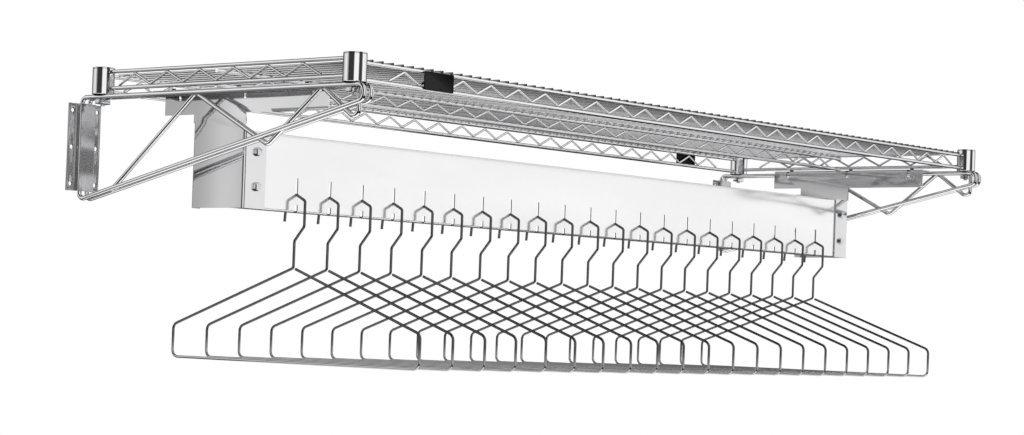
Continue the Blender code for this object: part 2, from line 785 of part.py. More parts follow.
def hanger_path():
    """One wire from the tip of the hook round the frame, with the peak's bend about the origin.

    The drops are measured from the slot's bottom edge, which the peak straddles.
    """
    peak = Vector((0, 0, HOOK_SEAT + HANGER_WIRE_R + GAP))
    corner_z = HOOK_SEAT - HOOK_CORNER_DROP
    run_angle = math.atan2(peak.z - corner_z, HOOK_LEG_OUT)
    peak.z += HOOK_PEAK_R * (1 / math.cos(run_angle) - 1)
    neck_z = HOOK_SEAT - NECK_DROP
    shoulder_z = neck_z - SHOULDER_DROP
    bar_z = HOOK_SEAT - HANGER_SIDE_END
    slope = SHOULDER_DROP / SHOULDER_HALF
    end_y = -(2 * HANGER_WIRE_R + GAP)
    bends = [
        (HOOK_TIP_OUT, HOOK_SEAT - HOOK_TIP_DROP, 0),
        (HOOK_LEG_OUT, corner_z, HOOK_CORNER_R),
        (0, peak.z, HOOK_PEAK_R),
        (-HOOK_LEG_OUT, corner_z, HOOK_CORNER_R),
        (-HOOK_LEG_OUT, HOOK_SEAT - HOOK_LEG_DROP, JOG_BEND_R),
        (0, HOOK_SEAT - HOOK_JOG_DROP, JOG_BEND_R),
        (0, neck_z, NECK_BEND_R),
        (SHOULDER_HALF, shoulder_z, CORNER_BEND_R),
        (SHOULDER_HALF, bar_z, CORNER_BEND_R),
        (-SHOULDER_HALF, bar_z, CORNER_BEND_R),
        (-SHOULDER_HALF, shoulder_z, CORNER_BEND_R),
        (end_y, neck_z + slope * end_y, 0),
    ]
    corners = [Vector((0, y, z)) for y, z, radius in bends]
    return rounded_path(corners, [radius for y, z, radius in bends], HANGER_BEND_STEPS)


def make_hangers():
    first = None
    for index in range(HANGERS):
        name = f"hanger_{index + 1:02d}"
        if first is None:
            hanger = wire_curve(name, [hanger_path()], HANGER_WIRE_R, ROUND_WIRE_STEPS, hanger_steel)
            first = hanger
        else:
            hanger = bpy.data.objects.new(name, first.data)
            parts.objects.link(hanger)
            hanger.parent = rack
        hanger.location = (hanger_x(index), PIVOT_Y, PIVOT_Z)


clear_scene()
parts = new_collection("wall_mounted_garment_rack")
cutters = new_collection("cutters")
steel = new_material("chrome_plated_steel", (0.80, 0.80, 0.81), 0.12, 1.0)
hanger_steel = new_material("hanger_chrome", (0.76, 0.76, 0.77), 0.15, 1.0)
stainless = new_material("stainless_sheet", (0.72, 0.72, 0.73), 0.28, 1.0)
zinc = new_material("zinc_plated_fastener", (0.60, 0.60, 0.61), 0.35, 1.0)
black = new_material("black_plastic", (0.012, 0.012, 0.013), 0.45, 0.0)

rack = bpy.data.objects.new("rack", None)
parts.objects.link(rack)
rack.location = (COLLAR_X + FLANGE_CENTRE, 0, -SCREW_PITCH / 2)

for side_name, side_sign in SIDES:
    make_channel(side_name, side_sign)
    make_frame_rods(side_name, side_sign * COLLAR_X)
    make_zigzag(side_name, side_sign * COLLAR_X)
    make_side_truss(side_name, side_sign)
    make_end_plate(side_name, side_sign)
for corner_name, corner_x, corner_y in CORNERS:
    make_corner(corner_name, corner_x, corner_y)
make_deck()
make_rim_truss("front_truss", FRONT_Y, FRONT_SNAKE_SHIFT)
make_rim_truss("rear_truss", REAR_Y, REAR_SNAKE_SHIFT)
make_centre_truss()
make_tags()
make_panel()
make_panel_bolts()
make_hangers()
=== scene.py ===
"""Looks for the wall-mounted garment rack: chrome wires, polished sheet and blank tags,
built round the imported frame, with the camera and the studio that show them."""

import math

import bmesh
import bpy
from mathutils import Matrix, Vector


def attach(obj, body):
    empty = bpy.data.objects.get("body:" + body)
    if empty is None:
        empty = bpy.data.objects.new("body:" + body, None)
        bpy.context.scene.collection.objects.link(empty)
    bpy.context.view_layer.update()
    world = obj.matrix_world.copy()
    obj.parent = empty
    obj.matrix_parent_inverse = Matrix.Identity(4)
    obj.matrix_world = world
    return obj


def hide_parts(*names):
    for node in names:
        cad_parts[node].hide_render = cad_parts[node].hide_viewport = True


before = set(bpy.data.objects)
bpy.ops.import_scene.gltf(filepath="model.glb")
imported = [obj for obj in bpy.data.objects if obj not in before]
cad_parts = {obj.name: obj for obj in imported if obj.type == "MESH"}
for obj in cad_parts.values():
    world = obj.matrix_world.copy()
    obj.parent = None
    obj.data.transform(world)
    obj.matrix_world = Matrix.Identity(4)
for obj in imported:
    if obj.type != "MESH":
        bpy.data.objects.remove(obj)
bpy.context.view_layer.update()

# The rack's own middle on the wall, in the frame's coordinates
RACK = Vector((0.7679, 0, -0.0235))
SIDES = (("left", -1), ("right", 1))
FIT_GAP = 0.0003
SMOOTH_UP_TO = math.radians(40)

# Shelf
COLLAR_X = 0.747
REAR_Y = -0.034
FRONT_Y = -0.461
MIDDLE_Y = (FRONT_Y + REAR_Y) / 2
COLLAR_R = 0.01415
COLLAR_WALL = 0.00165
COLLAR_BOTTOM = 0.0673
COLLAR_HEIGHT = 0.0325
COLLAR_LIP = 0.0004
COLLAR_SIDES = 64
PLUG_FLANGE = 0.0015
PLUG_DEPTH = 0.011
PLUG_SHEET = 0.0018
CLAMP_BOLT_R = 0.003
CLAMP_BOLT_TAIL = 0.0022
CLAMP_BLOCK = (0.0185, 0.010, 0.006)
CLAMP_BLOCK_EDGE = 0.0008
TOP_WIRE_R = 0.0025
BOTTOM_WIRE_R = 0.0027
SNAKE_R = 0.0016
MAT_WIRE_R = 0.0016
WIRE_SIDES = 16
THIN_WIRE_SIDES = 10
MAT_WIRES = 79
MAT_FROM_COLLAR = 0.0286
MAT_OVERHANG = 0.0022
WELD_BITE = 0.001
FRONT_TOP_Z = 0.0914
FRONT_BOTTOM_Z = 0.0711
SIDE_TOP_Z = 0.0958
SIDE_BOTTOM_Z = 0.0748
CENTRE_BOTTOM_Z = 0.0726
CENTRE_Y = MIDDLE_Y + 0.014
SNAKE_TURNS_X = 26
SNAKE_FROM_COLLAR_X = 0.0545
SNAKE_TURNS_Y = 7
SNAKE_FROM_COLLAR_Y = 0.0416
SNAKE_BEND_R = 0.0045
SNAKE_BEND_STEPS = 4
SNAKE_SHIFTS = {"front": 0.0063, "centre": 0.0125, "rear": -0.0175, "left": 0.0115, "right": 0}
MAT_Z = FRONT_TOP_Z + TOP_WIRE_R + MAT_WIRE_R - WELD_BITE
TAG_SIZE = (0.0546, 0.0222, 0.0015)
TAG_CORNER_R = 0.0016
TAG_RIM = 0.0009
TAG_EDGE = 0.0003
TAG_PLACES = (("front", 0.149 - COLLAR_X), ("rear", COLLAR_X - 0.159))

# Wall brackets
ROD_R = 0.003
ROD_SIDES = 20
ROD_BEND_STEPS = 8
ROD_PITCH = 0.0063
ROD_WALL_Y = -0.0033
RAIL_Z = 0.064
LOOP_Y = FRONT_Y - 0.021
LOOP_HEIGHT = 0.0176
LOOP_BEND_R = 0.009
WALL_BEND_R = 0.0075
BRACE_DROP = 0.1312
ZIGZAG_BEND_R = 0.008
ZIGZAG_START_Y = -0.0575
ZIGZAG_APEX_SHARES = (0.3934, 0.8852)
ZIGZAG_TURN_SHARE = 0.6862
ZIGZAG_TURN_DROP = 0.012
ZIGZAG_RISER_OUT = 0.0091
ZIGZAG_RISER_DROP = 0.0433
CHANNEL_HEIGHT = 0.112
CHANNEL_WIDTH = 0.0556
HAT_WIDTH = 0.028
HAT_DEPTH = 0.0082
CHANNEL_SHEET = 0.0016
CHANNEL_BEND_R = 0.0009
SCREW_ROWS = 3
SCREW_PITCH = 0.047
SCREW_HOLE_R = 0.00275
FLANGE_CENTRE = 0.0209
DRILL_SIDES = 24
DRILL_REACH = 0.01

# Hanger panel and end plates
PANEL_FRONT_Y = -0.2623
PANEL_HEIGHT = 0.0952
PANEL_DEPTH = 0.022
PANEL_SHEET = 0.0015
PANEL_BOTTOM_Z = -0.0762
PANEL_TOP_Z = PANEL_BOTTOM_Z + PANEL_HEIGHT
PANEL_HALF = 0.7197
SHEET_BEND_R = 0.0012
HANGERS = 21
HANGER_PITCH = 0.06236
SLOT_SIZE = (0.0045, 0.0225)
SLOT_CORNER_R = 0.0006
SLOT_FROM_BOTTOM = 0.0196
NOTCH_SIZE = (0.0058, 0.009)
NOTCH_CORNER_R = 0.0008
NOTCH_PUNCH_BELOW = 0.01
PUNCH_DEPTH = 0.03
SLOT_PUNCH_OUT = 0.02
NOTCH_PUNCH_OUT = 0.005
PLATE_X = 0.7216
PLATE_SHEET = 0.0016
PLATE_BEND_R = 0.002
FOLD_STEPS = 6
PLATE_TOP_Z = 0.0691
WING_FRONT_Y = -0.399
WING_REAR_Y = -0.1225
WING_LOW_Z = PLATE_TOP_Z - 0.029
PLATE_FRONT_Y = PANEL_FRONT_Y - FIT_GAP - PLATE_SHEET
STEM_REAR_Y = PANEL_FRONT_Y + 0.088
FRONT_FLANGE = 0.0386
REAR_FLANGE = 0.015
REAR_FLANGE_DROP = 0.011
FLANGE_END_X = 0.744
HEM_DEPTH = 0.008
HEM_REAR_Y = PLATE_FRONT_Y - 0.0418
TABS = 3
TAB_FIRST_Y = WING_FRONT_Y + 0.02575
TAB_PITCH = 0.1125
TAB_SIZE = (0.0016, 0.006, 0.0038)
TAB_EDGE = 0.0003
TAB_OUT = 0.010
TAB_RISE = 0.003
RELIEF_DEPTH = 0.006
RELIEF_WIDTH = 0.005
RELIEF_HEIGHT = 0.0115
RELIEF_ABOVE = 0.002
RELIEF_SHIFT = 0.0005
BOLT_X = PLATE_X - 0.0221
BOLT_HEIGHTS = (0.027, 0.070)
BOLT_R = 0.0029
BOLT_HOLE_R = 0.0033
BOLT_TAIL = 0.003
BOLT_SIDES = 20
HEX_R = 0.0055
HEX_HEAD = 0.004
HEX_EDGE_SHARE = 0.08
HEX_TOP_SHARE = 0.92
SHAFT_IN_HEAD = 0.0005
SHAFT_TAPER_SHARE = 0.15
NUT_HEIGHT = 0.005
NUT_COLLAR = 0.0004

# Hangers, measured from the slot's bottom edge
HANGER_WIRE_R = 0.00175
HANGER_Y = -0.26155
SLOT_BOTTOM_Z = PANEL_BOTTOM_Z + SLOT_FROM_BOTTOM
SHOULDER_HALF = 0.2095
HANGER_SIDE_END = 0.2075
HANGER_WIRE_SIDES = 14
HANGER_BEND_STEPS = 6
HOOK_PEAK_UP = 0.00255
HOOK_HALF = 0.0158
HOOK_CORNER_DOWN = 0.0055
HOOK_TIP = (0.018, -0.0313)
HOOK_FOOT_DOWN = 0.0375
NECK_TOP_DOWN = 0.0557
NECK_DOWN = 0.0893
SHOULDER_DROP = 0.0763
HOOK_BEND_R = 0.005
HOOK_CORNER_R = 0.004
NECK_BEND_R = 0.004
SHOULDER_BEND_R = 0.009

# Studio. The camera was found by fitting it to the photograph
CAMERA_PLACE = (-2.07973, -2.3193, -0.2289)
CAMERA_TURN = (47.71, 0.70, 2.11)
CAMERA_LENS = 85.33
PICTURE_WIDTH = 1024
PICTURE_SHIFT = (198.69, 69.22)
FLOOR_Z = -1.5
FLOOR_SIZE = (3.4, 2.6)
FLOOR_CORNER_R = 0.5
FLOOR_SHADE = 0.86
FLOOR_GLOW = 0.22
LAMPS = (
    ("main_softbox", (-0.6, -2.0, 2.6), 2.4, 40), ("side_softbox", (-2.8, -0.6, 1.2), 1.6, 12),
)


def at_rack(x, y, z):
    """A place given from the rack's middle, in the frame's coordinates."""
    return RACK + Vector((x, y, z))


# Node trees


class Nodes:
    """Adds nodes to a tree. An input given a socket is linked, and any other value is set."""

    def __init__(self, tree):
        self.tree = tree

    def add(self, kind, inputs=None, **settings):
        node = self.tree.nodes.new(kind)
        for key, value in settings.items():
            setattr(node, key, value)
        for key, value in (inputs or {}).items():
            if isinstance(value, bpy.types.NodeSocket):
                self.tree.links.new(value, node.inputs[key])
            else:
                node.inputs[key].default_value = value
        return node

    def math(self, operation, *values):
        return self.add("ShaderNodeMath", dict(enumerate(values)), operation=operation).outputs[0]

    def blend(self, factor, low, high):
        """A number between two others."""
        return self.add("ShaderNodeMix", {0: factor, 2: low, 3: high}).outputs[0]

    def darken(self, colour, shade):
        """A colour times a brightness."""
        return self.add(
            "ShaderNodeMix", {0: 1.0, 6: colour, 7: shade}, data_type="RGBA",
            blend_type="MULTIPLY",
        ).outputs[2]

    def rescale(self, value, span, low, high, how="LINEAR"):
        """A number between two others, by where a value lies in a span."""
        return self.add("ShaderNodeMapRange", {
            "Value": value, "From Min": span[0], "From Max": span[1],
            "To Min": low, "To Max": high,
        }, interpolation_type=how).outputs[0]

    def ramp(self, factor, stops):
        """A brightness that runs straight between (place, brightness) stops."""
        node = self.add("ShaderNodeValToRGB", {"Fac": factor})
        elements = node.color_ramp.elements
        elements.remove(elements[1])
        elements[0].position = stops[0][0]
        elements[0].color = (*[stops[0][1]] * 3, 1)
        for place, level in stops[1:]:
            elements.new(place).color = (level, level, level, 1)
        return node.outputs["Color"]


def geometry_tree(name, inputs):
    """A tree of geometry nodes with named inputs, which starts with a piece to work on."""
    tree = bpy.data.node_groups.new(name, "GeometryNodeTree")
    for label, kind in {"Geometry": "Geometry", **inputs, "Material": "Material"}.items():
        tree.interface.new_socket(label, in_out="INPUT", socket_type=f"NodeSocket{kind}")
    tree.interface.new_socket("Geometry", in_out="OUTPUT", socket_type="NodeSocketGeometry")
    nodes = Nodes(tree)
    return nodes, nodes.add("NodeGroupInput").outputs


def end_tree(nodes, shape, given):
    real = nodes.add("GeometryNodeRealizeInstances", {"Geometry": shape})
    painted = nodes.add(
        "GeometryNodeSetMaterial", {"Geometry": real.outputs[0], "Material": given["Material"]}
    )
    nodes.add("NodeGroupOutput", {"Geometry": painted.outputs[0]})
    return nodes.tree


def wire_round(nodes, line, radius, sides):
    """Gives a line the round section of a wire, with closed ends."""
    ring = nodes.add("GeometryNodeCurvePrimitiveCircle", {"Resolution": sides, "Radius": radius})
    return nodes.add("GeometryNodeCurveToMesh", {
        "Curve": line, "Profile Curve": ring.outputs["Curve"], "Fill Caps": True,
    }).outputs["Mesh"]


def bent_wire_tree():
    """Wire along the edges of a base mesh, bent at each corner to the radius stored there."""
    nodes, given = geometry_tree("bent_wire", {
        "Wire radius": "Float", "Wire sides": "Int", "Bend steps": "Int",
    })
    line = nodes.add("GeometryNodeMeshToCurve", {"Mesh": given["Geometry"]})
    radius = nodes.add("GeometryNodeInputNamedAttribute", {"Name": "bend"}, data_type="FLOAT")
    bent = nodes.add("GeometryNodeFilletCurve", {
        "Curve": line.outputs["Curve"], "Radius": radius.outputs["Attribute"],
        "Count": given["Bend steps"], "Limit Radius": True,
    }, mode="POLY")
    wire = wire_round(nodes, bent.outputs[0], given["Wire radius"], given["Wire sides"])
    return end_tree(nodes, wire, given)


def snake_wire_tree():
    """A zigzag wire whose turns step along a straight line, every second one raised."""
    nodes, given = geometry_tree("snake_wire", {
        "Points": "Int", "First turn": "Vector", "Step": "Vector", "Rise": "Float",
        "Bend radius": "Float", "Wire radius": "Float", "Wire sides": "Int", "Bend steps": "Int",
    })
    line = nodes.add("GeometryNodeMeshLine", {
        "Count": given["Points"], "Start Location": given["First turn"], "Offset": given["Step"],
    })
    odd = nodes.math("MODULO", nodes.add("GeometryNodeInputIndex").outputs[0], 2.0)
    lift = nodes.add("ShaderNodeCombineXYZ", {"Z": nodes.math("MULTIPLY", odd, given["Rise"])})
    turns = nodes.add(
        "GeometryNodeSetPosition", {"Geometry": line.outputs[0], "Offset": lift.outputs[0]}
    )
    bent = nodes.add("GeometryNodeFilletCurve", {
        "Curve": nodes.add("GeometryNodeMeshToCurve", {"Mesh": turns.outputs[0]}).outputs[0],
        "Radius": given["Bend radius"], "Count": given["Bend steps"], "Limit Radius": True,
    }, mode="POLY")
    wire = wire_round(nodes, bent.outputs[0], given["Wire radius"], given["Wire sides"])
    return end_tree(nodes, wire, given)


def wire_row_tree():
    """A row of equal straight wires side by side."""
    nodes, given = geometry_tree("wire_row", {
        "Wires": "Int", "First end": "Vector", "Step": "Vector", "Run": "Vector",
        "Wire radius": "Float", "Wire sides": "Int",
    })
    places = nodes.add("GeometryNodeMeshLine", {
        "Count": given["Wires"], "Start Location": given["First end"], "Offset": given["Step"],
    })
    line = nodes.add("GeometryNodeCurvePrimitiveLine", {"End": given["Run"]})
    wire = wire_round(nodes, line.outputs[0], given["Wire radius"], given["Wire sides"])
    row = nodes.add("GeometryNodeInstanceOnPoints", {"Points": places.outputs[0], "Instance": wire})
    return end_tree(nodes, row.outputs[0], given)


def punched_row_tree():
    """A row of equal holes through a piece, cut by a punch that steps along a line."""
    nodes, given = geometry_tree("punched_row", {
        "Punch": "Object", "Holes": "Int", "First hole": "Vector", "Step": "Vector",
    })
    places = nodes.add("GeometryNodeMeshLine", {
        "Count": given["Holes"], "Start Location": given["First hole"], "Offset": given["Step"],
    })
    punch = nodes.add("GeometryNodeObjectInfo", {"Object": given["Punch"]})
    row = nodes.add("GeometryNodeInstanceOnPoints", {
        "Points": places.outputs[0], "Instance": punch.outputs["Geometry"],
    })
    punches = nodes.add("GeometryNodeRealizeInstances", {"Geometry": row.outputs[0]})
    # The punched walls are marked to be darkened, as painted shade in the openings
    marked = nodes.add("GeometryNodeStoreNamedAttribute", {
        "Geometry": punches.outputs[0], "Name": "cut_edge", "Value": 1.0,
    }, data_type="FLOAT", domain="FACE")
    cut = nodes.add("GeometryNodeMeshBoolean", {
        "Mesh 1": given["Geometry"], "Mesh 2": marked.outputs[0],
    }, operation="DIFFERENCE", solver="EXACT")
    return end_tree(nodes, cut.outputs["Mesh"], given)


def repeated_tree():
    """One made piece set down at every point of a base mesh."""
    nodes, given = geometry_tree("repeated", {"Piece": "Object"})
    piece = nodes.add("GeometryNodeObjectInfo", {"Object": given["Piece"]})
    row = nodes.add("GeometryNodeInstanceOnPoints", {
        "Points": given["Geometry"], "Instance": piece.outputs["Geometry"],
    })
    return end_tree(nodes, row.outputs[0], given)


def helper(name, data):
    """A new object in the scene."""
    obj = bpy.data.objects.new(name, data)
    bpy.context.scene.collection.objects.link(obj)
    return obj


def plain_mesh(worker, name):
    """What the worker's modifiers make of it, as a mesh of its own. The worker is removed."""
    graph = bpy.context.evaluated_depsgraph_get()
    mesh = bpy.data.meshes.new_from_object(worker.evaluated_get(graph))
    base = worker.data
    bpy.data.objects.remove(worker, do_unlink=True)
    bpy.data.meshes.remove(base)
    mesh.name = name
    return mesh


def run_tree(tree, name, sizes, base=None):
    """The plain mesh that a node tree makes from its named inputs and a base mesh."""
    worker = helper(f"{name}_base", base or bpy.data.meshes.new(name))
    modifier = worker.modifiers.new(tree.name, "NODES")
    modifier.node_group = tree
    sockets = {
        item.name: item.identifier for item in tree.interface.items_tree if item.in_out == "INPUT"
    }
    for label, value in sizes.items():
        modifier[sockets[label]] = value
    return plain_mesh(worker, name)


def finish_piece(name, mesh, material, replaced, body="rack"):
    """A piece of the rack from a plain mesh, smooth but for its sharp edges."""
    mesh.materials.clear()
    mesh.materials.append(material)
    mesh.shade_smooth()
    mesh.set_sharp_from_angle(angle=SMOOTH_UP_TO)
    piece = helper(name, mesh)
    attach(piece, body)
    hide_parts(*replaced)


def mark_cut_and_shaded(mesh, is_marked):
    """Marks faces of a mesh to be darkened: raw cut edges, and walls and tabs whose darkness is
    painted shade.
    """
    mark = mesh.attributes.get("cut_edge") or mesh.attributes.new("cut_edge", "FLOAT", "FACE")
    mark.data.foreach_set("value", [float(is_marked(face)) for face in mesh.polygons])


def mesh_of(shape, name):
    """The finished mesh of a bmesh, which is freed."""
    mesh = bpy.data.meshes.new(name)
    shape.to_mesh(mesh)
    shape.free()
    return mesh


def joined(meshes, name):
    shape = bmesh.new()
    for mesh in meshes:
        shape.from_mesh(mesh)
    return mesh_of(shape, name)


def path_mesh(name, corners, closed):
    """A line of edges through (x, y, z, bend radius) corners, for the bent wire."""
    mesh = bpy.data.meshes.new(name)
    count = len(corners)
    links = count if closed else count - 1
    mesh.from_pydata(
        [RACK + Vector(corner[:3]) for corner in corners],
        [(index, (index + 1) % count) for index in range(links)], [],
    )
    bend = mesh.attributes.new("bend", "FLOAT", "POINT")
    bend.data.foreach_set("value", [corner[3] for corner in corners])
    return mesh


def bent_wire(name, corners, radius, sides, steps, closed=False):
    base = path_mesh(name, corners, closed)
    return run_tree(bent_wire_nodes, name, {
        "Wire radius": radius, "Wire sides": sides, "Bend steps": steps, "Material": chrome,
    }, base)


# Solid shapes


def turned(name, profile, steps):
    """A ring turned from a closed profile of (radius, height), or a plug whose profile is open."""
    shape = bmesh.new()
    rings = []
    for radius, height in profile:
        rings.append([
            shape.verts.new((
                radius * math.cos(2 * math.pi * step / steps),
                radius * math.sin(2 * math.pi * step / steps), height,
            ))
            for step in range(steps if radius else 1)
        ])
    is_ring = profile[0][0] > 0
    for first, second in zip(rings, rings[1:] + (rings[:1] if is_ring else [])):
        for step in range(steps):
            after = (step + 1) % steps
            corners = [first[step % len(first)], first[after % len(first)],
                       second[after % len(second)], second[step % len(second)]]
            distinct = list(dict.fromkeys(corners))
            if len(distinct) > 2:
                shape.faces.new(distinct)
    bmesh.ops.recalc_face_normals(shape, faces=shape.faces)
    return mesh_of(shape, name)


def softened_box(name, size, edge, place):
    """A block about a place, with its edges rounded off."""
    shape = bmesh.new()
    bmesh.ops.create_cube(
        shape, size=1, matrix=Matrix.Translation(place) @ Matrix.Diagonal((*size, 1))
    )
    if edge:
        bmesh.ops.bevel(
            shape, geom=shape.edges[:], offset=edge, segments=2, affect="EDGES", profile=0.5
        )
    return mesh_of(shape, name)


def draw_out(shape, face, run):
    """Draws a face out along a vector into a solid, and gives the face at its far end."""
    grown = bmesh.ops.extrude_face_region(shape, geom=[face])["geom"]
    bmesh.ops.translate(
        shape, vec=run, verts=[item for item in grown if isinstance(item, bmesh.types.BMVert)]
    )
    bmesh.ops.recalc_face_normals(shape, faces=shape.faces)
    return next(item for item in grown if isinstance(item, bmesh.types.BMFace))


def extruded(name, outline, run, place):
    """A flat outline of points drawn out along a vector, as a closed solid."""
    shape = bmesh.new()
    corners = [shape.verts.new(Vector(place) + Vector(point)) for point in outline]
    draw_out(shape, shape.faces.new(corners), run)
    return mesh_of(shape, name)


def round_drill(radius):
    """A punch for round holes along Y, which reaches as far before its place as behind."""
    angles = [2 * math.pi * step / DRILL_SIDES for step in range(DRILL_SIDES)]
    circle = [(radius * math.cos(angle), 0, radius * math.sin(angle)) for angle in angles]
    run, start = (0, 2 * DRILL_REACH, 0), (0, -DRILL_REACH, 0)
    return helper("drill", extruded("drill", circle, run, start))


def rounded(outline, radii, steps=5):
    """A closed flat outline with its corners rounded, each by its own radius."""
    points = []
    count = len(outline)
    for index, corner in enumerate(outline):
        here = Vector(corner)
        radius = radii[index]
        if radius == 0:
            points.append(tuple(here))
            continue
        back = (Vector(outline[index - 1]) - here).normalized()
        ahead = (Vector(outline[(index + 1) % count]) - here).normalized()
        half = back.angle(ahead) / 2
        centre = here + (back + ahead).normalized() * (radius / math.sin(half))
        first = here + back * (radius / math.tan(half)) - centre
        last = here + ahead * (radius / math.tan(half)) - centre
        sweep = first.angle(last)
        for step in range(steps + 1):
            share = step / steps
            spoke = first * math.sin((1 - share) * sweep) + last * math.sin(share * sweep)
            points.append(tuple(centre + spoke / math.sin(sweep)))
    return points


def rounded_rectangle(width, height, radius, steps):
    across, up = width / 2, height / 2
    corners = [(-across, -up), (across, -up), (across, up), (-across, up)]
    return rounded(corners, [radius] * 4, steps)


def with_modifiers(mesh, name, *modifiers):
    """The mesh after (kind, settings) modifiers."""
    worker = helper(f"{name}_shape", mesh)
    for kind, settings in modifiers:
        modifier = worker.modifiers.new(kind.lower(), kind)
        for key, value in settings.items():
            setattr(modifier, key, value)
    return plain_mesh(worker, name)


EDGE_SOFTENED = ("BEVEL", {
    "width": 0.00025, "segments": 2, "limit_method": "ANGLE", "angle_limit": math.radians(60),
    "harden_normals": False,
})
FLAT_FACES_FLAT = ("WEIGHTED_NORMAL", {"keep_sharp": True, "weight": 50})


# Studio


def set_up_camera():
    """The photograph's view, with its picture centre off the lens axis."""
    yaw, pitch, roll = (math.radians(angle) for angle in CAMERA_TURN)
    ahead = Vector((
        math.sin(yaw) * math.cos(pitch), math.cos(yaw) * math.cos(pitch), math.sin(pitch)
    ))
    level = Vector((math.cos(yaw), -math.sin(yaw), 0))
    upright = level.cross(ahead)
    right = math.cos(roll) * level + math.sin(roll) * upright
    up = math.cos(roll) * upright - math.sin(roll) * level
    data = bpy.data.cameras.new("photo_view")
    data.sensor_width = 36
    data.lens = CAMERA_LENS
    data.shift_x, data.shift_y = (pixels / PICTURE_WIDTH for pixels in PICTURE_SHIFT)
    data.clip_start = 0.05
    data.clip_end = 30
    camera = helper("photo_view", data)
    turn = Matrix((right, up, -ahead)).transposed().to_4x4()
    camera.matrix_world = Matrix.Translation(CAMERA_PLACE) @ turn
    bpy.context.scene.camera = camera


# What polished metal sees round the studio: the compass angle, from straight into the wall
# and on by way of the right end, with the brightness there
STUDIO_COMPASS = (
    (0, 0.45), (20, 0.30), (34, 0.10), (62, 0.10), (74, 0.60), (104, 0.95), (116, 1.0),
    (150, 1.0), (158, 0.05), (188, 0.05), (194, 1.0), (232, 1.0),
    (239, 0.04), (288, 0.04), (298, 0.46), (306, 0.62), (314, 0.95), (340, 0.75), (360, 0.45),
)
# The share of that brightness, from straight down at 0 to straight up at 1, on each side
RIGHT_HEIGHT = (
    (0.0, 0.04), (0.36, 0.04), (0.41, 1.0), (0.80, 1.0), (0.90, 0.5), (1.0, 0.45),
)
LEFT_HEIGHT = (
    (0.0, 0.25), (0.33, 0.25), (0.36, 0.40), (0.42, 0.40), (0.44, 0.03),
    (0.464, 0.03), (0.480, 1.0), (0.70, 1.0), (0.80, 0.22), (1.0, 0.22),
)
RIGHT_SIDE = ((0, 0.0), (60, 0.0), (70, 1.0), (225, 1.0), (235, 0.0), (360, 0.0))
SOFT_LIGHT = 0.85


def set_up_world():
    """White behind the object, even soft light, and bright and dark sides for metal to show."""
    world = bpy.data.worlds.new("studio")
    world.use_nodes = True
    world.cycles.sampling_method = "NONE"
    bpy.context.scene.world = world
    world.node_tree.nodes.clear()
    nodes = Nodes(world.node_tree)
    direction = nodes.add("ShaderNodeTexCoord").outputs["Generated"]
    x, y, z = nodes.add("ShaderNodeSeparateXYZ", {0: direction}).outputs
    turn = nodes.math("DIVIDE", nodes.math("ARCTAN2", x, y), 2 * math.pi)
    compass = nodes.math("FRACT", nodes.math("ADD", turn, 1.0))
    height = nodes.math("ADD", nodes.math("DIVIDE", nodes.math("ARCSINE", z), math.pi), 0.5)
    around = nodes.ramp(compass, [(angle / 360, level) for angle, level in STUDIO_COMPASS])
    on_right = nodes.ramp(compass, [(angle / 360, share) for angle, share in RIGHT_SIDE])
    up_down = nodes.blend(
        on_right, nodes.ramp(height, LEFT_HEIGHT), nodes.ramp(height, RIGHT_HEIGHT)
    )
    seen_by_metal = nodes.math("MULTIPLY", around, up_down)
    ray = nodes.add("ShaderNodeLightPath").outputs
    level = nodes.blend(ray["Is Glossy Ray"], SOFT_LIGHT, seen_by_metal)
    seen_through = nodes.math("MAXIMUM", ray["Is Camera Ray"], ray["Is Transmission Ray"])
    level = nodes.blend(seen_through, level, 1.0)
    sky = nodes.add("ShaderNodeBackground", {"Color": (1, 1, 1, 1), "Strength": level})
    nodes.add("ShaderNodeOutputWorld", {"Surface": sky.outputs[0]})


def new_material(name):
    material = bpy.data.materials.new(name)
    material.use_nodes = True
    return material, Nodes(material.node_tree), material.node_tree.nodes["Principled BSDF"]


def set_up_floor():
    """A pale floor that glows for the camera and in reflections, and keeps its shadow."""
    material, nodes, shader = new_material("pale_floor")
    shader.inputs["Base Color"].default_value = (FLOOR_SHADE, FLOOR_SHADE, FLOOR_SHADE, 1)
    shader.inputs["Roughness"].default_value = 0.9
    ray = nodes.add("ShaderNodeLightPath").outputs
    seen = nodes.math("MAXIMUM", ray["Is Camera Ray"], ray["Is Glossy Ray"])
    seen = nodes.math("MAXIMUM", seen, ray["Is Transmission Ray"])
    shader.inputs["Emission Color"].default_value = (1, 1, 1, 1)
    material.node_tree.links.new(
        nodes.math("MULTIPLY", seen, FLOOR_GLOW), shader.inputs["Emission Strength"]
    )
    outline = rounded_rectangle(*FLOOR_SIZE, FLOOR_CORNER_R, 8)
    mesh = bpy.data.meshes.new("floor")
    mesh.from_pydata(
        [(RACK.x + across, RACK.y + MIDDLE_Y + out, FLOOR_Z) for across, out in outline], [],
        [list(range(len(outline)))],
    )
    mesh.materials.append(material)
    floor = helper("floor", mesh)


def set_up_lamps():
    """One wide soft lamp above the room side and a weaker one from the left."""
    middle = at_rack(0, MIDDLE_Y, 0)
    for name, offset, size, power in LAMPS:
        lamp = bpy.data.lights.new(name, "AREA")
        lamp.shape = "SQUARE"
        lamp.size = size
        lamp.energy = power
        place = middle + Vector(offset)
        turn = (middle - place).to_track_quat("-Z", "Y").to_matrix().to_4x4()
        obj = helper(name, lamp)
        obj.matrix_world = Matrix.Translation(place) @ turn
        obj.visible_glossy = False


# Finishes


NOISE_SPAN = (0.3, 0.7)
TONE_RANGE = (0.93, 1.0)
CLOUD_SCALE = 14.0
CLOUD_EVENNESS = 0.2
GRAIN_DEPTH = 0.0004
BOW_SCALE = 7.0
# Brightness of the marked faces: bare cut ends, with painted shade on them and on hole walls and
# tabs
CUT_AND_PAINTED_SHADE = 0.12
CUT_EDGE_ROUGHNESS = 0.5


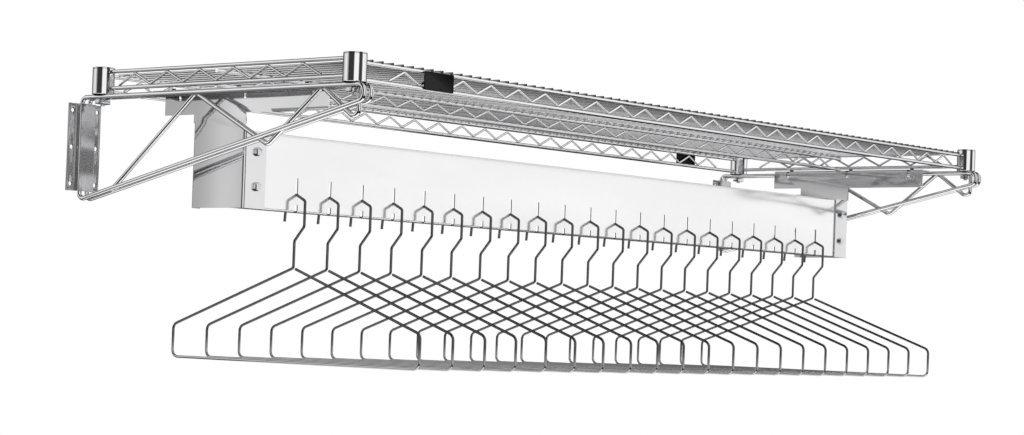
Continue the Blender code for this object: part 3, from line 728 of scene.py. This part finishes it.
def finish(
    name, colour, metallic, roughness, spread, scale, bump, stretch=(1, 1, 1), bow=0.0, painted_shade=None,
    edge_tint=1.0,
):
    """A finish whose roughness, tone and surface vary by fine uneven grain on the object.
    A bow makes flat sheet waver a little, a painted shade (axis, shaded place, its shade, bright
    place) darkens the colour along an axis as painted shade, and marked faces, raw cut edges and
    painted shade, are dull and dark."""
    material, nodes, shader = new_material(name)
    links = material.node_tree.links
    shader.inputs["Metallic"].default_value = metallic
    shader.inputs["Specular Tint"].default_value = (edge_tint, edge_tint, edge_tint, 1)
    place = nodes.add("ShaderNodeTexCoord").outputs["Object"]
    grain_place = nodes.add("ShaderNodeMapping", {"Vector": place, "Scale": stretch})
    grain = nodes.add("ShaderNodeTexNoise", {
        "Vector": grain_place.outputs[0], "Scale": scale, "Detail": 5.0, "Roughness": 0.6,
    }).outputs["Fac"]
    cloud_stretch = [CLOUD_EVENNESS + (1 - CLOUD_EVENNESS) * share for share in stretch]
    cloud_place = nodes.add("ShaderNodeMapping", {"Vector": place, "Scale": cloud_stretch})
    cloud = nodes.add("ShaderNodeTexNoise", {
        "Vector": cloud_place.outputs[0], "Scale": CLOUD_SCALE, "Detail": 3.0,
    }).outputs["Fac"]
    rough = nodes.rescale(
        nodes.blend(0.5, grain, cloud), NOISE_SPAN, roughness - spread, roughness + spread
    )
    # Marked faces are darker and rougher: cut ends, and painted shade on hole walls and tabs
    cut = nodes.add("ShaderNodeAttribute", attribute_name="cut_edge").outputs["Fac"]
    links.new(nodes.blend(cut, rough, CUT_EDGE_ROUGHNESS), shader.inputs["Roughness"])
    tone = nodes.rescale(cloud, NOISE_SPAN, *TONE_RANGE)
    shade = nodes.math("MULTIPLY", tone, nodes.blend(cut, 1.0, CUT_AND_PAINTED_SHADE))
    # Painted shade: the colour darkens from the shaded place towards the bright place
    if painted_shade:
        axis, shaded_place, shaded_level, bright_place = painted_shade
        along = nodes.add("ShaderNodeSeparateXYZ", {0: place}).outputs[axis]
        shade = nodes.math("MULTIPLY", shade, nodes.rescale(
            along, (shaded_place, bright_place), shaded_level, 1.0, "SMOOTHSTEP"
        ))
    links.new(nodes.darken((*colour, 1), shade), shader.inputs["Base Color"])
    relief = nodes.add(
        "ShaderNodeBump", {"Height": grain, "Strength": bump, "Distance": GRAIN_DEPTH}
    )
    if bow:
        waves = nodes.add(
            "ShaderNodeTexNoise", {"Vector": place, "Scale": BOW_SCALE, "Detail": 1.0}
        ).outputs["Fac"]
        wavy = nodes.add("ShaderNodeBump", {"Height": waves, "Strength": 1.0, "Distance": bow})
        links.new(wavy.outputs[0], relief.inputs["Normal"])
    links.new(relief.outputs[0], shader.inputs["Normal"])
    return material


# Pieces


def brace_z(y):
    """Height of the brace's centre line at a place out from the wall."""
    start_z = RAIL_Z - LOOP_HEIGHT
    share = (y - LOOP_Y) / (ROD_WALL_Y - LOOP_Y)
    return start_z + share * (RAIL_Z - BRACE_DROP - start_z)


def make_bracket_rods(side, sign):
    for place, offset in (("outer", sign * ROD_PITCH), ("inner", -sign * ROD_PITCH)):
        x = sign * COLLAR_X + offset
        corners = [
            (x, ROD_WALL_Y, RAIL_Z, WALL_BEND_R), (x, LOOP_Y, RAIL_Z, LOOP_BEND_R),
            (x, LOOP_Y, brace_z(LOOP_Y), LOOP_BEND_R),
            (x, ROD_WALL_Y, brace_z(ROD_WALL_Y), WALL_BEND_R),
        ]
        name = f"frame_rod_{side}_{place}"
        mesh = bent_wire(name, corners, ROD_R, ROD_SIDES, ROD_BEND_STEPS, closed=True)
        finish_piece(name, mesh, chrome, [f"bracket_rod_{side}_{place}"])


def make_zigzag_rods(side, sign):
    x = sign * COLLAR_X
    first_apex, last_apex, turn = (
        REAR_Y + share * (FRONT_Y - REAR_Y) for share in (*ZIGZAG_APEX_SHARES, ZIGZAG_TURN_SHARE)
    )
    riser = FRONT_Y - ZIGZAG_RISER_OUT
    corners = [
        (x, ZIGZAG_START_Y, brace_z(ZIGZAG_START_Y), 0), (x, first_apex, RAIL_Z, ZIGZAG_BEND_R),
        (x, turn, brace_z(turn) - ZIGZAG_TURN_DROP, ZIGZAG_BEND_R),
        (x, last_apex, RAIL_Z, ZIGZAG_BEND_R),
        (x, riser, RAIL_Z - ZIGZAG_RISER_DROP, ZIGZAG_BEND_R), (x, riser, RAIL_Z - ROD_R, 0),
    ]
    name = f"zigzag_rod_{side}"
    mesh = bent_wire(name, corners, ROD_R, ROD_SIDES, ROD_BEND_STEPS)
    finish_piece(name, mesh, chrome, [f"bracket_zigzag_{side}"])


def make_channel(side, sign):
    """A hat section with its bends rounded, punched with two columns of screw holes."""
    half, hat, inner = CHANNEL_WIDTH / 2, HAT_WIDTH / 2, HAT_WIDTH / 2 - CHANNEL_SHEET
    outside, inside = CHANNEL_BEND_R + CHANNEL_SHEET, CHANNEL_BEND_R
    right_half = [
        (hat, -HAT_DEPTH, outside), (hat, -CHANNEL_SHEET, inside), (half, -CHANNEL_SHEET, 0),
        (half, 0, 0), (inner, 0, outside), (inner, CHANNEL_SHEET - HAT_DEPTH, inside),
    ]
    both = right_half + [(-x, y, radius) for x, y, radius in reversed(right_half)]
    outline = rounded([corner[:2] for corner in both], [corner[2] for corner in both])
    name = f"channel_{side}"
    bottom = at_rack(sign * COLLAR_X, 0, -CHANNEL_HEIGHT / 2)
    mesh = extruded(name, [(x, y, 0) for x, y in outline], (0, 0, CHANNEL_HEIGHT), bottom)
    drill = round_drill(SCREW_HOLE_R)
    for column in (-1, 1):
        first = at_rack(sign * COLLAR_X + column * FLANGE_CENTRE, 0, -SCREW_PITCH)
        mesh = run_tree(punched_row_nodes, name, {
            "Punch": drill, "Holes": SCREW_ROWS, "First hole": first, "Step": (0, 0, SCREW_PITCH),
            "Material": channel_plate,
        }, mesh)
    bpy.data.objects.remove(drill, do_unlink=True)
    mesh = with_modifiers(mesh, name, EDGE_SOFTENED, FLAT_FACES_FLAT)
    finish_piece(name, mesh, channel_plate, [f"wall_channel_{side}"])


def corner_points(z):
    mesh = bpy.data.meshes.new("corners")
    mesh.from_pydata(
        [at_rack(sign * COLLAR_X, y, z) for _, sign in SIDES for y in (FRONT_Y, REAR_Y)], [], []
    )
    return mesh


def repeat(piece_mesh, points, name, material):
    piece = helper(f"{name}_one", piece_mesh)
    mesh = run_tree(repeated_nodes, name, {"Piece": piece, "Material": material}, points)
    bpy.data.objects.remove(piece, do_unlink=True)
    return mesh


def hexagon_bolt(name, shaft_r, head, shaft):
    """A hex head on a shaft that hangs below it, with the edges at both ends taken off."""
    top_r = HEX_R * math.cos(math.pi / 6) * HEX_TOP_SHARE
    shape = bmesh.new()
    rings = [
        [
            shape.verts.new((
                radius * math.cos(math.pi * (2 * step + 1) / 6),
                radius * math.sin(math.pi * (2 * step + 1) / 6), z,
            ))
            for step in range(6)
        ]
        for z, radius in ((0, HEX_R), (head - HEX_R * HEX_EDGE_SHARE, HEX_R), (head, top_r))
    ]
    for low, high in zip(rings, rings[1:]):
        for step in range(6):
            after = (step + 1) % 6
            shape.faces.new((low[step], low[after], high[after], high[step]))
    shape.faces.new(rings[-1])
    shape.faces.new(list(reversed(rings[0])))
    taper = shaft_r * SHAFT_TAPER_SHARE
    rod = turned(f"{name}_shaft", [
        (0, SHAFT_IN_HEAD), (shaft_r, SHAFT_IN_HEAD), (shaft_r, taper - shaft),
        (shaft_r - taper, -shaft), (0, -shaft),
    ], BOLT_SIDES)
    return joined([mesh_of(shape, f"{name}_head"), rod], name)


def make_corners():
    """Collars, plugs, blocks and bolts, each kind one piece that stands at all four corners."""
    lip, inner = COLLAR_LIP, COLLAR_R - COLLAR_WALL
    collar = turned("collar", [
        (COLLAR_R - lip, 0), (COLLAR_R, lip), (COLLAR_R, COLLAR_HEIGHT - lip),
        (COLLAR_R - lip, COLLAR_HEIGHT), (inner, COLLAR_HEIGHT), (inner, 0),
    ], COLLAR_SIDES)
    spigot = inner - FIT_GAP
    cup, bore = spigot - PLUG_SHEET, CLAMP_BOLT_R + FIT_GAP
    plug = turned("plug", [
        (COLLAR_R - lip, PLUG_FLANGE), (COLLAR_R, PLUG_FLANGE - lip), (COLLAR_R, 0), (spigot, 0),
        (spigot, -PLUG_DEPTH), (bore, -PLUG_DEPTH), (bore, PLUG_SHEET - PLUG_DEPTH),
        (cup, PLUG_SHEET - PLUG_DEPTH), (cup, PLUG_FLANGE - lip), (cup + lip, PLUG_FLANGE),
    ], COLLAR_SIDES)
    plug_z = COLLAR_BOTTOM + COLLAR_HEIGHT + FIT_GAP
    block_top = RAIL_Z - ROD_R - FIT_GAP
    height = CLAMP_BLOCK[2]
    block = softened_box("block", CLAMP_BLOCK, CLAMP_BLOCK_EDGE, (0, 0, -height / 2))
    head_z = plug_z - PLUG_DEPTH + PLUG_SHEET + FIT_GAP
    tail_z = block_top - height - CLAMP_BOLT_TAIL
    bolt = hexagon_bolt("clamp_bolt", CLAMP_BOLT_R, HEX_HEAD, head_z - tail_z)
    corners = [f"{row}_{side}" for side, _ in SIDES for row in ("front", "rear")]
    for name, replaced, one, z, material, slot in (
        ("corner_collars", "collar", collar, COLLAR_BOTTOM, chrome, "chrome_steel"),
        ("collar_plugs", "collar_plug", plug, plug_z, zinc, "zinc_fastener"),
        ("clamp_blocks", "clamp_block", block, block_top, zinc, "zinc_fastener"),
        ("clamp_bolts", "clamp_bolt", bolt, head_z, zinc, "zinc_fastener"),
    ):
        mesh = repeat(one, corner_points(z), name, material)
        finish_piece(name, mesh, material, [f"{replaced}_{corner}" for corner in corners])


def straight_wire(name, first, last, radius):
    return run_tree(wire_row_nodes, name, {
        "Wires": 1, "First end": first, "Run": last - first, "Wire radius": radius,
        "Wire sides": WIRE_SIDES, "Material": chrome,
    })


def wire_along_x(name, half, y, z, radius):
    return straight_wire(name, at_rack(-half, y, z), at_rack(half, y, z), radius)


def snake_wire(name, start, step, points, rise):
    return run_tree(snake_wire_nodes, name, {
        "Points": points, "First turn": start, "Step": step, "Rise": rise,
        "Bend radius": SNAKE_BEND_R, "Wire radius": SNAKE_R, "Wire sides": THIN_WIRE_SIDES,
        "Bend steps": SNAKE_BEND_STEPS, "Material": chrome,
    })


def make_deck():
    pitch = (2 * COLLAR_X - 2 * MAT_FROM_COLLAR) / (MAT_WIRES - 1)
    mat = run_tree(wire_row_nodes, "mat", {
        "Wires": MAT_WIRES, "Step": (pitch, 0, 0),
        "First end": at_rack(MAT_FROM_COLLAR - COLLAR_X, FRONT_Y - MAT_OVERHANG, MAT_Z),
        "Run": (0, REAR_Y - FRONT_Y + 2 * MAT_OVERHANG, 0), "Wire radius": MAT_WIRE_R,
        "Wire sides": THIN_WIRE_SIDES, "Material": mat_chrome,
    })
    # The wire ends are darkened: bare cut steel, with painted shade on top
    mark_cut_and_shaded(mat, lambda face: abs(face.normal.y) > 0.9)
    finish_piece("mat_wires", mat, mat_chrome, ["shelf_deck"])
    rims = [
        wire_along_x("rim", COLLAR_X - COLLAR_R, y, FRONT_TOP_Z, TOP_WIRE_R)
        for y in (FRONT_Y, REAR_Y)
    ]
    mesh = joined(rims, "rim_wires")
    finish_piece("rim_wires", mesh, chrome, ["shelf_deck"])


def truss_along_x(name, y, bottom_z, top_z, half, shift, replaced, top_wire=None):
    """A bottom wire with its snake, and a top wire of its own where a height is given."""
    pitch = (2 * COLLAR_X - 2 * SNAKE_FROM_COLLAR_X) / (SNAKE_TURNS_X - 1)
    low = bottom_z + BOTTOM_WIRE_R + SNAKE_R - WELD_BITE
    start = at_rack(shift - (SNAKE_TURNS_X - 1) * pitch / 2, y, low)
    wires = [
        wire_along_x(name, half, y, bottom_z, BOTTOM_WIRE_R),
        snake_wire(name, start, (pitch / 2, 0, 0), 2 * SNAKE_TURNS_X - 1, top_z - low),
    ]
    if top_wire:
        wires.append(wire_along_x(name, half, y, top_wire, TOP_WIRE_R))
    finish_piece(name, joined(wires, name), chrome, [replaced])


def make_trusses():
    half = COLLAR_X - COLLAR_R
    rim_snake_top = FRONT_TOP_Z - TOP_WIRE_R - SNAKE_R
    for row, y in (("front", FRONT_Y), ("rear", REAR_Y)):
        truss_along_x(
            f"{row}_rim_truss", y, FRONT_BOTTOM_Z, rim_snake_top, half, SNAKE_SHIFTS[row],
            f"{row}_truss",
        )
    top = MAT_Z - MAT_WIRE_R - FIT_GAP - TOP_WIRE_R
    truss_along_x(
        "middle_truss", CENTRE_Y, CENTRE_BOTTOM_Z, top - TOP_WIRE_R - SNAKE_R + WELD_BITE,
        COLLAR_X - BOTTOM_WIRE_R, SNAKE_SHIFTS["centre"], "centre_truss", top,
    )
    reach = (REAR_Y - FRONT_Y) / 2 - COLLAR_R
    pitch = (REAR_Y - FRONT_Y - 2 * SNAKE_FROM_COLLAR_Y) / (SNAKE_TURNS_Y - 1)
    low = SIDE_BOTTOM_Z + BOTTOM_WIRE_R + SNAKE_R - WELD_BITE
    high = SIDE_TOP_Z - TOP_WIRE_R - SNAKE_R + WELD_BITE
    for side, sign in SIDES:
        x = sign * COLLAR_X
        first = MIDDLE_Y + SNAKE_SHIFTS[side] - (SNAKE_TURNS_Y - 1) * pitch / 2
        name = f"{side}_side_truss"
        wires = [
            straight_wire(
                name, at_rack(x, MIDDLE_Y - reach, z), at_rack(x, MIDDLE_Y + reach, z), radius
            )
            for z, radius in ((SIDE_BOTTOM_Z, BOTTOM_WIRE_R), (SIDE_TOP_Z, TOP_WIRE_R))
        ]
        wires.append(snake_wire(
            name, at_rack(x, first, low), (0, pitch / 2, 0), 2 * SNAKE_TURNS_Y - 1, high - low
        ))
        finish_piece(name, joined(wires, name), chrome, [f"{side}_truss"])


def make_tags():
    """Blank moulded tags with a raised rim round a bare field."""
    width, height, thickness = TAG_SIZE
    middle_z = (FRONT_TOP_Z + FRONT_BOTTOM_Z) / 2
    out = BOTTOM_WIRE_R + FIT_GAP + thickness / 2
    for (place, x), y, facing in zip(TAG_PLACES, (FRONT_Y - out, REAR_Y + out), (-1, 1)):
        shape = bmesh.new()
        back = shape.faces.new([
            shape.verts.new(at_rack(x + across, y - facing * thickness / 2, middle_z + up))
            for across, up in rounded_rectangle(width, height, TAG_CORNER_R, 6)
        ])
        front = draw_out(shape, back, (0, facing * thickness, 0))
        for border, depth in ((TAG_EDGE, 0), (TAG_RIM, 0), (TAG_EDGE, -TAG_EDGE)):
            bmesh.ops.inset_region(
                shape, faces=[front], thickness=border, depth=depth, use_even_offset=True
            )
        name = f"{place}_blank_tag"
        mesh = with_modifiers(mesh_of(shape, name), name, FLAT_FACES_FLAT)
        finish_piece(name, mesh, tag_plastic, [f"{place}_tag"])


def hanger_x(index):
    return (index - (HANGERS - 1) / 2) * HANGER_PITCH


def punch_row(mesh, name, size, corner_r, first, material):
    """Cuts a rectangular opening with rounded corners for every hanger."""
    outline = [(across, 0, up) for across, up in rounded_rectangle(*size, corner_r, 3)]
    punch = helper("punch", extruded("punch", outline, (0, PUNCH_DEPTH, 0), (0, 0, 0)))
    mesh = run_tree(punched_row_nodes, name, {
        "Punch": punch, "Holes": HANGERS, "First hole": first, "Step": (HANGER_PITCH, 0, 0),
        "Material": material,
    }, mesh)
    bpy.data.objects.remove(punch, do_unlink=True)
    return mesh


def drill_bolt_holes(mesh, name, sign, y, material):
    """Cuts the two bolt holes at one end of the panel, through what lies at Y."""
    drill = round_drill(BOLT_HOLE_R)
    low, high = BOLT_HEIGHTS
    mesh = run_tree(punched_row_nodes, name, {
        "Punch": drill, "Holes": 2, "Material": material,
        "First hole": at_rack(sign * BOLT_X, y, PANEL_BOTTOM_Z + low), "Step": (0, 0, high - low),
    }, mesh)
    bpy.data.objects.remove(drill, do_unlink=True)
    return mesh


def make_panel():
    """A long C section with rounded bends, a slot and a notch below it for every hanger."""
    name = "slotted_panel"
    front, rear = PANEL_FRONT_Y, PANEL_FRONT_Y + PANEL_DEPTH
    low, high, sheet = PANEL_BOTTOM_Z, PANEL_TOP_Z, PANEL_SHEET
    outside, inside = SHEET_BEND_R + sheet, SHEET_BEND_R
    section = [
        (front, low, outside), (rear, low, 0), (rear, low + sheet, 0),
        (front + sheet, low + sheet, inside), (front + sheet, high - sheet, inside),
        (rear, high - sheet, 0), (rear, high, 0), (front, high, outside),
    ]
    outline = rounded([corner[:2] for corner in section], [corner[2] for corner in section], 6)
    mesh = extruded(
        name, [(0, y, z) for y, z in outline], (2 * PANEL_HALF, 0, 0), at_rack(-PANEL_HALF, 0, 0)
    )
    first_slot = at_rack(hanger_x(0), front - SLOT_PUNCH_OUT, SLOT_BOTTOM_Z + SLOT_SIZE[1] / 2)
    mesh = punch_row(mesh, name, SLOT_SIZE, SLOT_CORNER_R, first_slot, panel_sheet)
    width, height = NOTCH_SIZE
    punched = height + NOTCH_PUNCH_BELOW
    first_notch = at_rack(hanger_x(0), front - NOTCH_PUNCH_OUT, low + height - punched / 2)
    mesh = punch_row(mesh, name, (width, punched), NOTCH_CORNER_R, first_notch, panel_sheet)
    for _, sign in SIDES:
        mesh = drill_bolt_holes(mesh, name, sign, front, panel_sheet)
    mesh = with_modifiers(mesh, name, FLAT_FACES_FLAT)
    finish_piece(name, mesh, panel_sheet, ["hanger_panel"])


def fold(shape, edge, to_pivot, axis, turn, length):
    """Folds a flange off a straight edge of a sheet: an arc about an axis, then a flat."""
    pivot = edge[0].co + to_pivot
    places = [vert.co.copy() for vert in edge]
    rows = [edge]
    for step in range(1, FOLD_STEPS + 1):
        spin = Matrix.Rotation(turn * step / FOLD_STEPS, 3, axis)
        rows.append([shape.verts.new(pivot + spin @ (place - pivot)) for place in places])
    spoke = rows[-1][0].co - pivot
    onward = Vector(axis).cross(spoke).normalized() * math.copysign(length, turn)
    rows.append([shape.verts.new(vert.co + onward) for vert in rows[-1]])
    for (first, second), (third, fourth) in zip(rows, rows[1:]):
        shape.faces.new((first, second, fourth, third))


def make_end_plate(side, sign):
    """A tee-shaped sheet with a flange on top, one front and rear, and a hem under the wing."""
    sheet = PLATE_SHEET
    middle_r = PLATE_BEND_R + sheet / 2
    x = sign * (PLATE_X - sheet / 2)
    top = PLATE_TOP_Z - sheet / 2 - middle_r
    hem_z = WING_LOW_Z + sheet / 2 + middle_r
    front_y = PLATE_FRONT_Y + sheet / 2 + middle_r
    rear_y = STEM_REAR_Y - sheet / 2 - middle_r
    slope_z = WING_LOW_Z - REAR_FLANGE_DROP
    corners = {
        "top_front": (WING_FRONT_Y, top), "top_rear": (WING_REAR_Y, top),
        "wing_rear": (WING_REAR_Y, WING_LOW_Z), "stem_rear": (STEM_REAR_Y, WING_LOW_Z),
        "flange_high": (STEM_REAR_Y, slope_z), "bend_high": (rear_y, slope_z),
        "bend_low": (rear_y, PANEL_BOTTOM_Z), "front_low": (front_y, PANEL_BOTTOM_Z),
        "front_high": (front_y, PANEL_TOP_Z),
        "stem_high": (PLATE_FRONT_Y, PANEL_TOP_Z), "stem_front": (PLATE_FRONT_Y, WING_LOW_Z),
        "hem_rear": (HEM_REAR_Y, WING_LOW_Z), "hem_bend": (HEM_REAR_Y, hem_z),
        "hem_front": (WING_FRONT_Y, hem_z),
    }
    shape = bmesh.new()
    at = {key: shape.verts.new(at_rack(x, y, z)) for key, (y, z) in corners.items()}
    shape.faces.new(list(at.values()))
    quarter = sign * math.pi / 2
    to_room_end, to_middle = Vector((sign * middle_r, 0, 0)), Vector((-sign * middle_r, 0, 0))
    taken = sheet / 2 + middle_r
    for start, end, to_pivot, axis, turn, length in (
        ("top_front", "top_rear", to_room_end, (0, 1, 0), quarter,
         FLANGE_END_X - PLATE_X + sheet - taken),
        ("front_low", "front_high", to_middle, (0, 0, 1), -quarter, FRONT_FLANGE - taken),
        ("bend_low", "bend_high", to_middle, (0, 0, 1), quarter, REAR_FLANGE - taken),
        ("hem_front", "hem_bend", to_middle, (0, 1, 0), quarter, HEM_DEPTH + sheet - taken),
    ):
        fold(shape, [at[start], at[end]], to_pivot, axis, turn, length)
    bmesh.ops.recalc_face_normals(shape, faces=shape.faces)
    name = f"tee_plate_{side}"
    material = plate_sheets[side]
    mesh = with_modifiers(mesh_of(shape, name), name, ("SOLIDIFY", {
        "thickness": sheet, "offset": 0, "use_even_offset": True, "use_quality_normals": True,
    }))
    relief = helper("relief", softened_box(
        "relief", (RELIEF_DEPTH, RELIEF_WIDTH, RELIEF_HEIGHT + RELIEF_ABOVE), 0,
        (0, 0, (RELIEF_ABOVE - RELIEF_HEIGHT) / 2),
    ))
    mesh = run_tree(punched_row_nodes, name, {
        "Punch": relief, "Holes": TABS, "Step": (0, TAB_PITCH, 0), "Material": material,
        "First hole": at_rack(x + sign * RELIEF_SHIFT, TAB_FIRST_Y, PLATE_TOP_Z),
    }, mesh)
    bpy.data.objects.remove(relief, do_unlink=True)
    mesh = drill_bolt_holes(mesh, name, sign, PLATE_FRONT_Y, material)
    tabs = [
        softened_box("tab", TAB_SIZE, TAB_EDGE, at_rack(
            sign * (PLATE_X + TAB_OUT + sheet / 2), TAB_FIRST_Y + index * TAB_PITCH,
            PLATE_TOP_Z + TAB_RISE - TAB_SIZE[2] / 2,
        ))
        for index in range(TABS)
    ]
    # The tabs are darkened all over as painted shade
    for tab in tabs:
        mark_cut_and_shaded(tab, lambda face: True)
    mesh = with_modifiers(joined([mesh, *tabs], name), name, FLAT_FACES_FLAT)
    finish_piece(name, mesh, material, [f"end_plate_{side}"])


def make_panel_bolts():
    """Hex bolts through the plates and the panel, each with its nut run on behind."""
    head_back = PLATE_FRONT_Y - FIT_GAP
    grip = PANEL_FRONT_Y + PANEL_SHEET + FIT_GAP - head_back
    bolt = hexagon_bolt("panel_bolt", BOLT_R, HEX_HEAD, grip + NUT_HEIGHT + BOLT_TAIL)
    nut = hexagon_bolt("nut", BOLT_R, NUT_HEIGHT, NUT_COLLAR)
    nut.transform(Matrix.Translation((0, 0, -grip - NUT_HEIGHT)))
    one = joined([bolt, nut], "panel_bolt")
    one.transform(Matrix.Rotation(math.pi / 2, 4, "X"))
    points = bpy.data.meshes.new("bolt_places")
    points.from_pydata([
        at_rack(sign * BOLT_X, head_back, PANEL_BOTTOM_Z + height)
        for _, sign in SIDES for height in BOLT_HEIGHTS
    ], [], [])
    mesh = repeat(one, points, "plate_bolts", zinc)
    finish_piece("plate_bolts", mesh, zinc, [
        f"panel_bolt_{side}_{place}" for side, _ in SIDES for place in ("lower", "upper")
    ])


def hanger_corners(x):
    """Corners of one hanger's wire with their bend radii, from the tip of its hook."""
    shoulder = -NECK_DOWN - SHOULDER_DROP
    end = -(2 * HANGER_WIRE_R + FIT_GAP)
    places = [
        (*HOOK_TIP, 0), (HOOK_HALF, -HOOK_CORNER_DOWN, HOOK_CORNER_R),
        (0, HOOK_PEAK_UP, HOOK_BEND_R), (-HOOK_HALF, -HOOK_CORNER_DOWN, HOOK_CORNER_R),
        (-HOOK_HALF, -HOOK_FOOT_DOWN, HOOK_BEND_R), (0, -NECK_TOP_DOWN, HOOK_BEND_R),
        (0, -NECK_DOWN, NECK_BEND_R), (SHOULDER_HALF, shoulder, SHOULDER_BEND_R),
        (SHOULDER_HALF, -HANGER_SIDE_END, SHOULDER_BEND_R),
        (-SHOULDER_HALF, -HANGER_SIDE_END, SHOULDER_BEND_R),
        (-SHOULDER_HALF, shoulder, SHOULDER_BEND_R),
        (end, -NECK_DOWN + SHOULDER_DROP / SHOULDER_HALF * end, 0),
    ]
    return [(x, HANGER_Y + out, SLOT_BOTTOM_Z + up, radius) for out, up, radius in places]


def make_hangers():
    for index in range(HANGERS):
        name, body = f"wire_hanger_{index + 1:02d}", f"hanger_{index + 1:02d}"
        corners = hanger_corners(hanger_x(index))
        mesh = bent_wire(name, corners, HANGER_WIRE_R, HANGER_WIRE_SIDES, HANGER_BEND_STEPS)
        finish_piece(name, mesh, hanger_chrome, [body], body)


bent_wire_nodes = bent_wire_tree()
snake_wire_nodes = snake_wire_tree()
wire_row_nodes = wire_row_tree()
punched_row_nodes = punched_row_tree()
repeated_nodes = repeated_tree()

chrome = finish(
    "chrome_plate", (0.93, 0.93, 0.94), metallic=1.0, roughness=0.06, spread=0.02, scale=900.0,
    bump=0.04, edge_tint=0.1,
)
# The mat wires are painted darker near the front edge, as painted shade
mat_chrome = finish(
    "mat_chrome_plate", (0.90, 0.90, 0.91), metallic=1.0, roughness=0.10, spread=0.04,
    scale=900.0, bump=0.06, painted_shade=("Y", FRONT_Y + 0.03, 0.30, FRONT_Y + 0.16),
)
# The hangers are a darker copy of the chrome, and darker still above the bar: painted shade
bar_z = RACK.z + SLOT_BOTTOM_Z - HANGER_SIDE_END
hanger_chrome = finish(
    "hanger_chrome_plate", (0.62, 0.62, 0.63), metallic=1.0, roughness=0.07, spread=0.03,
    scale=900.0, bump=0.04, edge_tint=0.1, painted_shade=("Z", bar_z + 0.03, 0.28, bar_z + 0.004),
)
channel_plate = finish(
    "channel_plate", (0.52, 0.52, 0.53), metallic=0.85, roughness=0.14, spread=0.06,
    scale=160.0, bump=0.03, stretch=(1.0, 1.0, 0.03),
)
panel_sheet = finish(
    "satin_panel_sheet", (0.95, 0.95, 0.96), metallic=0.75, roughness=0.14, spread=0.03,
    scale=700.0, bump=0.02, stretch=(0.04, 0.04, 1.0), bow=0.0004,
)
# The left plate is painted darker towards its rear: painted shade standing for a dark reflection
plate_sheets = {
    side_name: finish(
        f"polished_plate_{side_name}", (0.78, 0.78, 0.79), metallic=0.90, roughness=0.08,
        spread=0.03, scale=700.0, bump=0.02, stretch=(1.0, 1.0, 0.08), bow=0.0008, painted_shade=painted_shade,
    )
    for side_name, painted_shade in (("left", ("Y", STEM_REAR_Y, 0.56, PLATE_FRONT_Y)), ("right", None))
}
zinc = finish(
    "zinc_plate", (0.68, 0.69, 0.70), metallic=1.0, roughness=0.09, spread=0.03, scale=1100.0,
    bump=0.06,
)
tag_plastic = finish(
    "black_tag_plastic", (0.005, 0.005, 0.006), metallic=0.0, roughness=0.42, spread=0.08,
    scale=1500.0, bump=0.12,
)
tag_plastic.node_tree.nodes["Principled BSDF"].inputs["Specular IOR Level"].default_value = 0.08

set_up_camera()
set_up_world()
set_up_floor()
set_up_lamps()
for side_name, side_sign in SIDES:
    make_bracket_rods(side_name, side_sign)
    make_zigzag_rods(side_name, side_sign)
    make_channel(side_name, side_sign)
    make_end_plate(side_name, side_sign)
make_corners()
make_deck()
make_trusses()
make_tags()
make_panel()
make_panel_bolts()
make_hangers()

bpy.context.scene.view_settings.view_transform = "Standard"
